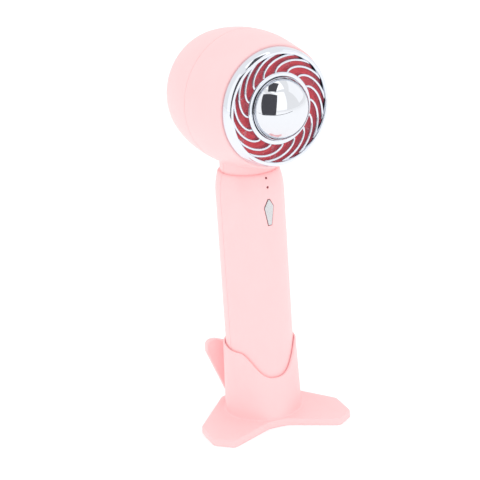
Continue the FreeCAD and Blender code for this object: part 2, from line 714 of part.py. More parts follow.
def intake_cutters():
    """Radial slots through the rear of the head."""
    count, width = int(size("intake_slots")), size("intake_width")
    inner, outer = size("intake_inner"), size("intake_outer")
    slot = Part.makeBox(width, outer - inner - width, 20, Vector(-width / 2, inner + width / 2, -38))
    for radius in (inner + width / 2, outer - width / 2):
        slot = slot.fuse(Part.makeCylinder(width / 2, 20, Vector(0, radius, -38)))
    slots = []
    for index in range(count):
        turned_slot = slot.removeSplitter()
        turned_slot.rotate(Vector(), Vector(0, 0, 1), 360.0 * (index + 0.5) / count)
        turned_slot.Placement = HEAD.multiply(turned_slot.Placement)
        slots.append(turned_slot)
    return slots


front_shell, rear_shell = head_shells()
feature_piece("head_front_shell", front_shell)
feature_piece("head_rear_shell", rear_shell.cut(intake_cutters()))


# ---------------------------------------------------------------- grille and dome

def grille_rib():
    """One rib: straight out of the hub ring, then swept until it runs into the outer ring."""
    inner, outer = size("hub_ring_outer") - 0.3, size("grille_outer") + 0.4
    half, sweep = size("rib_width") / 2, math.radians(size("rib_sweep"))
    sides = ([], [])
    steps, bend = 7, 1.7
    for index in range(steps):
        share = index / (steps - 1)
        radius = inner + (outer - inner) * share
        turn = math.radians(size("rib_phase")) - sweep * (1 - share ** bend)
        slope = sweep * bend * share ** (bend - 1) * radius / (outer - inner)
        point = Vector(radius * math.sin(turn), radius * math.cos(turn), 0)
        outwards = Vector(math.sin(turn), math.cos(turn), 0)
        sideways = Vector(math.cos(turn), -math.sin(turn), 0)
        along = outwards + sideways * slope
        along.normalize()
        across = Vector(-along.y, along.x, 0)
        sides[0].append(point + across * half)
        sides[1].append(point - across * half)
    first, second = smooth_curve(sides[0]), smooth_curve(sides[1][::-1])
    ends = [Part.LineSegment(sides[1][0], sides[0][0]).toShape(),
            Part.LineSegment(sides[0][-1], sides[1][-1]).toShape()]
    wire = Part.Wire(Part.__sortEdges__([first, ends[1], second, ends[0]]))
    rib = Part.Face(wire).extrude(Vector(0, 0, size("rib_depth")))
    rib.translate(Vector(0, 0, size("grille_face") - size("rib_depth")))
    return rib


def grille_bezel():
    """Bezel, ribs and hub ring in one plated moulding."""
    back, front, face = size("bezel_back"), size("bezel_front"), size("grille_face")
    outer, rim, bore = size("bezel_back_radius"), size("bezel_front_radius"), size("grille_outer")
    skirt_outer, skirt_inner = 27.75, 26.6
    swell = Vector((outer + rim) / 2 + 0.35, 0, (back + front) / 2 + 0.5)
    skirt_back = back - 5
    corners = [Vector(bore, 0, face), Vector(bore, 0, back - 0.2), Vector(skirt_inner, 0, back - 0.2),
               Vector(skirt_inner, 0, skirt_back), Vector(skirt_outer, 0, skirt_back),
               Vector(skirt_outer, 0, back), Vector(outer, 0, back)]
    edges = [Part.LineSegment(a, b).toShape() for a, b in zip(corners, corners[1:])]
    edges.append(Part.Arc(Vector(outer, 0, back), swell, Vector(rim, 0, front)).toShape())
    edges.append(Part.LineSegment(Vector(rim, 0, front), Vector(rim - 0.7, 0, front)).toShape())
    edges.append(Part.LineSegment(Vector(rim - 0.7, 0, front), Vector(bore, 0, face)).toShape())
    ring = Part.Face(Part.Wire(edges)).revolve(Vector(), Vector(0, 0, 1), 360)
    hub = tube(size("hub_ring_inner"), size("hub_ring_outer"), face - size("rib_depth"), face + 0.6)
    hub = hub.makeFillet(0.6, [edge for edge in hub.Edges if edge.BoundBox.ZMin > face + 0.5
                               and edge.BoundBox.XMax > size("hub_ring_inner") + 0.5])
    ribs = []
    for index in range(int(size("ribs"))):
        rib = grille_rib()
        rib.rotate(Vector(), Vector(0, 0, 1), 360.0 * index / size("ribs"))
        ribs.append(rib)
    return ring.fuse([hub] + ribs)


feature_piece("grille_bezel", grille_bezel(), HEAD)


def cold_dome():
    """Thin polished dome with a skirt that drops into the hub ring."""
    sphere, rim_radius, skin = size("dome_sphere"), size("dome_rim_radius"), 1.2
    rim, back = size("dome_rim"), size("dome_back")
    centre = rim - math.sqrt(sphere ** 2 - rim_radius ** 2)

    def cap(radius, rim_at):
        """Arc of a meridian from the rim at this radius to the apex."""
        start = math.asin(rim_at / radius)
        turns = (start, start / 2, 0.0)
        points = [Vector(radius * math.sin(turn), 0, centre + radius * math.cos(turn)) for turn in turns]
        return Part.Arc(*points).toShape()

    outside, inside = cap(sphere, rim_radius), cap(sphere - skin, rim_radius - skin - 0.05)
    corners = [inside.Vertexes[0].Point, Vector(rim_radius - skin - 0.05, 0, back),
               Vector(rim_radius, 0, back), outside.Vertexes[0].Point]
    edges = [Part.LineSegment(a, b).toShape() for a, b in zip(corners, corners[1:])]
    edges.append(Part.LineSegment(inside.Vertexes[-1].Point, outside.Vertexes[-1].Point).toShape())
    wire = Part.Wire(Part.__sortEdges__(edges + [outside, inside]))
    return Part.Face(wire).revolve(Vector(), Vector(0, 0, 1), 360)


feature_piece("cold_dome", cold_dome(), HEAD)
padded("cold_plate", HEAD, "dims.dome_back", "2", circle=("0", "0", "dims.dome_rim_radius - 1.35"))


# ---------------------------------------------------------------- cooling module behind the dome

MODULE_FRONT = "dims.dome_back - dims.pad_thickness"
MODULE_BACK = MODULE_FRONT + " - dims.module_thickness"
SINK_FRONT = MODULE_BACK + " - dims.pad_thickness"
SINK_BACK = SINK_FRONT + " - dims.sink_plate"
SQUARE = rectangle("dims.module_side", "dims.module_side")

pads = []
for name, level in (("thermal_pad_front", MODULE_FRONT), ("thermal_pad_back", SINK_FRONT)):
    pads.append(block(name, "dims.module_side", "dims.module_side", "dims.pad_thickness",
                      ("-dims.module_side / 2", "-dims.module_side / 2", level)))
keep(combine("Compound", "thermal_pads", pads[0], pads[1:]), HEAD)
padded("peltier_module", HEAD, MODULE_BACK, "dims.module_thickness", corners=SQUARE)
heat_sink = padded("heat_sink", HEAD, SINK_BACK, "dims.sink_plate", circle=("0", "0", "dims.sink_radius"))
fin = add_pad(heat_sink, "XY_Plane", SINK_BACK, "dims.sink_fin",
              corners=rectangle("0.8", "17", across="-10"), backward=True)
row_pattern(heat_sink, fin, "X_Axis", "20", 9)
cup_front = "dims.grille_face - dims.rib_depth - 0.05"
turned("module_cup", HEAD, [
    ("dims.sink_radius + 0.3", "dims.module_cup_back + 1"),
    ("dims.sink_radius - 1.6", "dims.module_cup_back + 1"),
    ("dims.sink_radius - 1.6", "dims.module_cup_back"), ("dims.module_cup_radius", "dims.module_cup_back"),
    ("dims.module_cup_radius", cup_front), ("dims.sink_radius + 0.3", cup_front)])


# ---------------------------------------------------------------- impeller and motor

def impeller_blade():
    """One broad blade: a cambered strip across the annulus, trimmed to the space round the hub."""
    front, back = size("blade_front"), size("blade_back")
    root, tip = size("impeller_hub") - 0.4, size("blade_tip")
    half = size("blade_thickness") / 2
    rise = front - back
    lean = rise * math.tan(math.radians(43.0))
    camber = 2.2
    sides = ([], [])
    steps = 5
    for index in range(steps):
        share = index / (steps - 1)
        middle = Vector(lean * (share - 0.5) + camber * math.sin(math.pi * share), 0, back + rise * share)
        slope = lean + camber * math.pi * math.cos(math.pi * share)
        along = Vector(slope, 0, rise)
        along.normalize()
        across = Vector(along.z, 0, -along.x)
        sides[0].append(middle + across * half)
        sides[1].append(middle - across * half)
    ends = [Part.LineSegment(sides[1][0], sides[0][0]).toShape(),
            Part.LineSegment(sides[0][-1], sides[1][-1]).toShape()]
    first, second = smooth_curve(sides[0]), smooth_curve(sides[1][::-1])
    wire = Part.Wire(Part.__sortEdges__([first, ends[1], second, ends[0]]))
    strip = Part.Face(wire).extrude(Vector(0, 40, 0))
    space = tube(root, tip, back, front)
    cleared = size("module_cup_radius") + 1.2
    space = space.cut(Part.makeCylinder(cleared, 40, Vector(0, 0, size("impeller_hub_front") - 0.4)))
    return strip.common(space)


def impeller():
    """Hub and blades of the red impeller."""
    hub_radius, front = size("impeller_hub"), size("impeller_hub_front")
    inside = size("rotor_radius") + 0.05
    back = size("blade_back")
    hub = Part.makeCylinder(hub_radius, front - back, Vector(0, 0, back))
    hub = hub.makeFillet(0.8, [edge for edge in hub.Edges if edge.BoundBox.ZMin > front - 0.1])
    hub = hub.cut(Part.makeCylinder(inside, front - 1.4 - back, Vector(0, 0, back)))
    hub = hub.cut(Part.makeCylinder(size("shaft_radius") + 0.03, 20, Vector(0, 0, back)))
    blades = []
    for index in range(int(size("blades"))):
        blade = impeller_blade()
        blade.rotate(Vector(), Vector(0, 0, 1), 360.0 * index / size("blades"))
        blades.append(blade)
    return hub.fuse(blades)


feature_piece("impeller", impeller(), HEAD)
ROTOR_FRONT = "dims.impeller_hub_front - 1.45"
turned("rotor_can", HEAD, [
    ("dims.shaft_radius + 0.03", ROTOR_FRONT), ("dims.rotor_radius", ROTOR_FRONT),
    ("dims.rotor_radius", "dims.blade_back + 0.2"),
    ("dims.rotor_radius - 0.9", "dims.blade_back + 0.2"), ("dims.rotor_radius - 0.9", ROTOR_FRONT + " - 0.9"),
    ("dims.shaft_radius + 0.03", ROTOR_FRONT + " - 0.9")])
turned("magnet_ring", HEAD, [
    ("dims.rotor_radius - 0.95", "4.4"), ("dims.rotor_radius - 0.95", "11.6"),
    ("dims.rotor_radius - 2.3", "11.6"), ("dims.rotor_radius - 2.3", "4.4")])
turned("motor_shaft", HEAD, [
    ("0", "0.4"), ("dims.shaft_radius", "0.4"), ("dims.shaft_radius", "dims.impeller_hub_front - 0.1"),
    ("0", "dims.impeller_hub_front - 0.1")])

STATOR_POLES = 6
POLE_LOW, POLE_HIGH = 5.4, 10.4


def stator():
    """Laminated core: a sleeve with poles that end in curved shoes under the magnet ring."""
    middle = tube(3.2, 4.3, POLE_LOW, POLE_HIGH)
    shoes = tube(6.7, 7.6, POLE_LOW, POLE_HIGH)
    height = POLE_HIGH - POLE_LOW
    for index in range(STATOR_POLES):
        turn = 360.0 * index / STATOR_POLES
        arm = Part.makeBox(3.2, 1.8, height, Vector(3.8, -0.9, POLE_LOW))
        arm.rotate(Vector(), Vector(0, 0, 1), turn)
        gap = Part.makeBox(2.0, 1.6, height, Vector(6.2, -0.8, POLE_LOW))
        gap.rotate(Vector(), Vector(0, 0, 1), turn + 180.0 / STATOR_POLES)
        middle = middle.fuse(arm)
        shoes = shoes.cut(gap)
    return middle.fuse(shoes).removeSplitter()


def windings():
    """A copper coil round each pole of the stator, as separate solids."""
    coils = []
    height = POLE_HIGH - POLE_LOW
    for index in range(STATOR_POLES):
        coil = Part.makeBox(1.7, 3.6, height + 1.6, Vector(4.75, -1.8, POLE_LOW - 0.8))
        coil = coil.cut(Part.makeBox(4, 2.0, height + 0.2, Vector(4, -1.0, POLE_LOW - 0.1)))
        coil.rotate(Vector(), Vector(0, 0, 1), 360.0 * index / STATOR_POLES)
        coils.append(coil)
    return Part.makeCompound(coils)


feature_piece("motor_stator", stator(), HEAD)
feature_piece("motor_windings", windings(), HEAD)
turned("motor_board", HEAD, [("3.2", "1.8"), ("9.2", "1.8"), ("9.2", "2.8"), ("3.2", "2.8")])

bearings = []
for name, level in (("bearing_rear", "1.4"), ("bearing_front", "8.4")):
    ring = rod(name + "_ring", "2", "2.4", ("0", "0", level))
    bore = rod(name + "_bore", "dims.shaft_radius + 0.03", "2.4", ("0", "0", level))
    bearings.append(combine("Cut", name, ring, [bore]))
keep(combine("Compound", "shaft_bearings", bearings[0], bearings[1:]), HEAD)

bracket = turned("motor_bracket", HEAD, [
    ("0", "-1"), ("10.5", "-1"), ("10.5", "0.3"), ("3.05", "0.3"), ("3.05", "11"),
    ("2.05", "11"), ("2.05", "0.3"), ("0", "0.3")])
arm = add_pad(bracket, "XY_Plane", "-1", "2.15", corners=rectangle("4", "18", up="17"))
ring_pattern(bracket, arm, "3")
add_turn(bracket, [("24.2", "-1"), ("30", "-1"), ("30", "1.15"), ("24.2", "1.15")])
duct = turned("air_duct", HEAD, [
    ("dims.duct_inner", "dims.flange_back"), ("dims.flange_radius", "dims.flange_back"),
    ("dims.flange_radius", "dims.flange_back + 1.8"),
    ("dims.duct_inner + dims.duct_wall", "dims.flange_back + 1.8"),
    ("dims.duct_inner + dims.duct_wall", "dims.duct_front"), ("dims.duct_inner", "dims.duct_front")])
BRACKET_SCREWS = 3
SCREW_CIRCLE = 28.2
for index in range(BRACKET_SCREWS):
    turn = math.radians(30 + 360 * index / BRACKET_SCREWS)
    across, up = "%.4f" % (SCREW_CIRCLE * math.cos(turn)), "%.4f" % (SCREW_CIRCLE * math.sin(turn))
    for body in (bracket, duct):
        add_pocket(body, "XY_Plane", "-3", "20", circle=(across, up, "1.05"), backward=True)
bracket_screws = []
for index in range(BRACKET_SCREWS):
    turn = math.radians(30 + 360 * index / BRACKET_SCREWS)
    place = Vector(SCREW_CIRCLE * math.cos(turn), SCREW_CIRCLE * math.sin(turn), 0)
    screw = Part.makeCylinder(1.0, 4.6, place + Vector(0, 0, -1.5))
    head = Part.makeCylinder(1.9, 1.3, place + Vector(0, 0, -2.35))
    bracket_screws.append(screw.fuse(head).cut(Part.makeBox(0.5, 3, 0.6, place + Vector(-0.25, -1.5, -2.35))))
feature_piece("bracket_screws", Part.makeCompound(bracket_screws), HEAD)


# ---------------------------------------------------------------- checking and writing

doc.recompute()
for item in doc.Objects:
    if "Invalid" in item.State or "Error" in item.State:
        raise RuntimeError("%s failed: %s" % (item.Label, item.State))
labels = [piece.Label for piece in pieces]
if len(set(labels)) != len(labels):
    raise RuntimeError("two pieces share a name")
for piece in pieces:
    if piece.Shape.isNull() or not piece.Shape.isValid() or not piece.Shape.Solids:
        raise RuntimeError("%s has no valid solid" % piece.Label)
os.makedirs("parts", exist_ok=True)
for piece in pieces:
    piece.Shape.exportStep("parts/%s.step" % piece.Label)
    print("%-22s %2d solids %10.2f mm3" % (piece.Label, len(piece.Shape.Solids), piece.Shape.Volume))
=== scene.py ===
"""Looks of a hand-held cooling fan in its desk stand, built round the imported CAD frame.

Shapes are worked out in millimetres and scaled to metres when an object is made.
HEAD space has its Z along the head's axis, out of the grille, and its Y upwards.
"""

import math

import bmesh
import bpy
from mathutils import Matrix, Vector


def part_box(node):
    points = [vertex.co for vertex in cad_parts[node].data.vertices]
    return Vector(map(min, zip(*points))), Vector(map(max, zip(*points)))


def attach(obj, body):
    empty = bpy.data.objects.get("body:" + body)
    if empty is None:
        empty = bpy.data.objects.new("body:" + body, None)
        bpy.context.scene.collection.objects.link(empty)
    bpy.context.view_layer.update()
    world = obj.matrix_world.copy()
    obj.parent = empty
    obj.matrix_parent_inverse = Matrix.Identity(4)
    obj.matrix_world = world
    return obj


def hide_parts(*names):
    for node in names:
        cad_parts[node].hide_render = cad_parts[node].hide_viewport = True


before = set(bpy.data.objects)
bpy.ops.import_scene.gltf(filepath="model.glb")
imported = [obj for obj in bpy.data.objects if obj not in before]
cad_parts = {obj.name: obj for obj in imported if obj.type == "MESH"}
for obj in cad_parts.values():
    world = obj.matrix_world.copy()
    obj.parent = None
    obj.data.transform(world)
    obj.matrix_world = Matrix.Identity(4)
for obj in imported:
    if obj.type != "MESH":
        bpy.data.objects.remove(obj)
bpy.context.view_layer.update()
scene = bpy.context.scene
for plain in list(bpy.data.materials):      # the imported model's own colours give way to the finishes below
    bpy.data.materials.remove(plain)

MM = 0.001


# ---------------------------------------------------------------- sizes read from the frame

def span(node):
    """Lowest and highest corner of a CAD node, in millimetres."""
    low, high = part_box(node)
    return low / MM, high / MM


dome_low, dome_high = span("cold_dome")
bezel_low, bezel_high = span("grille_bezel")
handle_low, handle_high = span("handle_front_shell")
front_low = span("head_front_shell")[0]
rear_high = span("head_rear_shell")[1]
impeller_low, impeller_high = span("impeller")
port_low, port_high = span("usb_shell")

HEAD_HEIGHT = (dome_low.z + dome_high.z) / 2
HEAD_RADIUS = rear_high.x
HEAD_FRONT = -front_low.y
HANDLE_RADIUS = handle_high.x
HANDLE_BOTTOM, HANDLE_TOP = handle_low.z, handle_high.z
BEZEL_RADIUS, BEZEL_FRONT = bezel_high.x, -bezel_low.y
BLADE_TIP, BLADE_FRONT, BLADE_BACK = impeller_high.x, -impeller_low.y, -impeller_high.y
DOME_RADIUS, DOME_FRONT, DOME_BACK = dome_high.x, -dome_low.y, -dome_high.y
CUP_TOP = span("stand")[1].z

WALL = 2.0                      # moulded walls of the handle and the head
SEAM = 0.1                      # half of the shadow gap where two mouldings meet
SEAM_EDGE = 0.13                # break on the edges along that gap

HEAD = Matrix.Translation((0, 0, HEAD_HEIGHT)) @ Matrix.Rotation(math.radians(90), 4, "X")
UPRIGHT = Matrix.Identity(4)
STAND_TURN = -12.0              # degrees that the stand's front is turned from the fan's front
STAND = Matrix.Rotation(math.radians(STAND_TURN), 4, "Z")
WELD = 0.002                    # points closer than this become one
CREASE = 32.0                   # faces that meet at more degrees than this keep a crisp edge
BREAK_LIMIT = 40.0              # edges sharper than this many degrees get a rounded break


# ---------------------------------------------------------------- mesh helpers

class Shell:
    """Vertices and faces gathered in millimetres, before they become one object."""

    def __init__(self):
        self.points = []
        self.faces = []

    def add(self, points, faces, place=UPRIGHT):
        start = len(self.points)
        self.points += [place @ Vector(point) for point in points]
        self.faces += [tuple(start + corner for corner in face) for face in faces]
        return self


def grid_faces(rows, columns, closed_rows=False, closed_columns=False):
    """Quads of a grid whose points are listed row by row."""
    faces = []
    for row in range(rows if closed_rows else rows - 1):
        for column in range(columns if closed_columns else columns - 1):
            below, beside = (row + 1) % rows, (column + 1) % columns
            faces.append((row * columns + column, row * columns + beside,
                          below * columns + beside, below * columns + column))
    return faces


def polar(radius, angle, level):
    """A point at an angle in degrees from local X, at this radius and level."""
    turn = math.radians(angle)
    return (radius * math.cos(turn), radius * math.sin(turn), level)


def lathe(profile, segments=128, closed=True):
    """Points and faces of a profile of (radius, level) turned about Z."""
    points = [polar(radius, 360.0 * column / segments, level)
              for radius, level in profile for column in range(segments)]
    return points, grid_faces(len(profile), segments, closed, True)


def rounded(corners, steps=5):
    """A closed outline of (x, y, radius) corners, with an arc at each corner that has a radius."""
    outline = []
    for index, (x, y, radius) in enumerate(corners):
        here = Vector((x, y))
        if radius <= 0:
            outline.append((x, y))
            continue
        before = (Vector(corners[index - 1][:2]) - here).normalized()
        after = (Vector(corners[(index + 1) % len(corners)][:2]) - here).normalized()
        half = before.angle(after) / 2
        middle = here + (before + after).normalized() * radius / math.sin(half)
        start, end = here + before * radius / math.tan(half), here + after * radius / math.tan(half)
        first, last = start - middle, end - middle
        sweep = first.angle_signed(last)
        for step in range(steps + 1):
            turn = -sweep * step / steps
            outline.append((middle.x + first.x * math.cos(turn) - first.y * math.sin(turn),
                            middle.y + first.x * math.sin(turn) + first.y * math.cos(turn)))
    return outline


def on_circle(centre, radius, turns):
    """Points on a circle at angles in degrees, from the first axis towards the second."""
    angles = [math.radians(turn) for turn in turns]
    return [(centre[0] + radius * math.cos(angle), centre[1] + radius * math.sin(angle)) for angle in angles]


def arc(centre, radius, first, last, steps):
    """Evenly spaced points on an arc between two angles."""
    return on_circle(centre, radius, [first + (last - first) * step / steps for step in range(steps + 1)])


def facing(direction, level):
    """A place on the handle's axis whose Z points forward (1) or backward (-1)."""
    return Matrix.Translation((0, 0, level)) @ Matrix.Rotation(math.radians(90 * direction), 4, "X")


def make(name, shell, crease=CREASE):
    """One object from a shell: welded, normals outward, edges sharper than crease kept crisp."""
    mesh = bpy.data.meshes.new(name)
    mesh.from_pydata([point * MM for point in shell.points], [], shell.faces)
    work = bmesh.new()
    work.from_mesh(mesh)
    bmesh.ops.remove_doubles(work, verts=work.verts, dist=WELD * MM)
    bmesh.ops.dissolve_degenerate(work, dist=WELD / 2 * MM, edges=work.edges)
    bmesh.ops.recalc_face_normals(work, faces=work.faces)
    work.to_mesh(mesh)
    work.free()
    piece = bpy.data.objects.new(name, mesh)
    scene.collection.objects.link(piece)
    shade(mesh, crease)
    return piece


def shade(mesh, crease):
    """Smooth faces, with a crisp edge wherever two faces meet at more than crease degrees."""
    work = bmesh.new()
    work.from_mesh(mesh)
    for face in work.faces:
        face.smooth = True
    for edge in work.edges:
        edge.smooth = len(edge.link_faces) == 2 and edge.calc_face_angle(0.0) < math.radians(crease)
    work.to_mesh(mesh)
    work.free()


def settle(piece, crease=CREASE):
    """Applies a piece's modifiers, so that its mesh is final."""
    depsgraph = bpy.context.evaluated_depsgraph_get()
    mesh = bpy.data.meshes.new_from_object(piece.evaluated_get(depsgraph))
    piece.modifiers.clear()
    piece.data = mesh
    shade(mesh, crease)
    return piece


def thicken(piece):
    """Gives a sheet its wall, inwards, and breaks the wall's edges."""
    wall = piece.modifiers.new("wall", "SOLIDIFY")
    wall.thickness, wall.offset, wall.use_even_offset = WALL * MM, -1.0, True
    soften(piece, SEAM_EDGE)
    return settle(piece)


def soften(piece, edge, segments=2):
    """A rounded break on a piece's sharper edges."""
    bevel = piece.modifiers.new("edge break", "BEVEL")
    bevel.width, bevel.segments = edge * MM, segments
    bevel.limit_method, bevel.angle_limit = "ANGLE", math.radians(BREAK_LIMIT)


def pierced(rows, opened, sectors, spread, columns, middle=0.0):
    """A turned sheet with one opening across the middle of each sector.

    rows are (radius, level, half width of the opening); the opening is left out between the rows
    whose first index is in opened. spread is a sector's angle and middle the first one's direction.
    """
    points, faces = [], []
    width = 2 * columns + 2
    for radius, level, half in rows:
        edge = math.degrees(math.asin(min(half / radius, 1.0))) if radius > 0 else 0.0
        side = [edge + (spread / 2 - edge) * step / columns for step in range(columns + 1)]
        for sector in range(sectors):
            centre = middle + sector * 360.0 / sectors
            points += [polar(radius, centre - angle, level) for angle in reversed(side)]
            points += [polar(radius, centre + angle, level) for angle in side]
    total = sectors * width
    for row in range(len(rows) - 1):
        for sector in range(sectors):
            for column in range(width - 1):
                if column == columns and row in opened:
                    continue
                first = row * total + sector * width + column
                faces.append((first, first + 1, first + 1 + total, first + total))
    return points, faces


def with_openings(levels, openings, radius_at):
    """Rows of a pierced sheet from plain levels and openings, each a list of (level, half width)."""
    rows, opened = [], set()
    margin = 0.3                # no plain row runs closer to an opening than this
    free = [level for level in levels
            if not any(hole[0][0] - margin < level < hole[-1][0] + margin for hole in openings)]
    marks = sorted([(level, 0.0, None) for level in free]
                   + [(level, half, index) for index, hole in enumerate(openings) for level, half in hole])
    for index, (level, half, hole) in enumerate(marks):
        rows.append((radius_at(level), level, half))
        if hole is not None and index + 1 < len(marks) and marks[index + 1][2] == hole:
            opened.add(index)
    return rows, opened


def round_hole(level, radius, steps=10):
    """A round opening for with_openings."""
    turns = [math.pi * step / steps for step in range(steps + 1)]
    return [(level - radius * math.cos(turn), radius * math.sin(turn)) for turn in turns]


# ---------------------------------------------------------------- materials

def finish(slot, colour, vary=0.03, patch=9.0, rough=(0.3, 0.4), grain=0.2, depth=0.004,
           pattern="noise", stretch=(1, 1, 1), **sockets):
    """A procedural finish: patchy colour, patchy gloss and a fine relief, all in object space.

    patch and grain are feature sizes in millimetres, depth is the relief's height in millimetres.
    """
    material = bpy.data.materials.new(slot)
    material.use_nodes = True
    tree = material.node_tree
    surface = tree.nodes["Principled BSDF"]
    for name, value in sockets.items():
        surface.inputs[name.replace("_", " ")].default_value = value
    place = tree.nodes.new("ShaderNodeTexCoord")
    mapping = tree.nodes.new("ShaderNodeMapping")
    mapping.inputs["Scale"].default_value = stretch
    tree.links.new(place.outputs["Object"], mapping.inputs["Vector"])

    def texture(kind, size, detail):
        node = tree.nodes.new(kind)
        node.inputs["Scale"].default_value = 1.0 / (size * MM)
        if "Detail" in node.inputs:
            node.inputs["Detail"].default_value = detail
        tree.links.new(mapping.outputs["Vector"], node.inputs["Vector"])
        return node

    def between(value, low, high, source=(0.3, 0.7)):
        node = tree.nodes.new("ShaderNodeMapRange")
        node.inputs["From Min"].default_value, node.inputs["From Max"].default_value = source
        node.inputs["To Min"].default_value, node.inputs["To Max"].default_value = low, high
        tree.links.new(value, node.inputs["Value"])
        return node.outputs["Result"]

    clouds = texture("ShaderNodeTexNoise", patch, 3.0)
    mix = tree.nodes.new("ShaderNodeMix")
    mix.data_type = "RGBA"
    mix.inputs["A"].default_value = [*(channel * (1 - vary) for channel in colour), 1.0]
    mix.inputs["B"].default_value = [*(min(channel * (1 + vary), 1.0) for channel in colour), 1.0]
    tree.links.new(between(clouds.outputs["Fac"], 0.0, 1.0), mix.inputs["Factor"])
    tree.links.new(mix.outputs["Result"], surface.inputs["Base Color"])
    gloss = texture("ShaderNodeTexNoise", patch / 4, 4.0)
    tree.links.new(between(gloss.outputs["Fac"], *rough), surface.inputs["Roughness"])
    kinds = {"noise": "ShaderNodeTexNoise", "cells": "ShaderNodeTexVoronoi", "lines": "ShaderNodeTexWave"}
    relief = texture(kinds[pattern], grain, 2.0)
    bump = tree.nodes.new("ShaderNodeBump")
    bump.inputs["Distance"].default_value = depth * MM
    bump.inputs["Strength"].default_value = 1.0
    tree.links.new(relief.outputs[0], bump.inputs["Height"])
    tree.links.new(bump.outputs["Normal"], surface.inputs["Normal"])
    return material


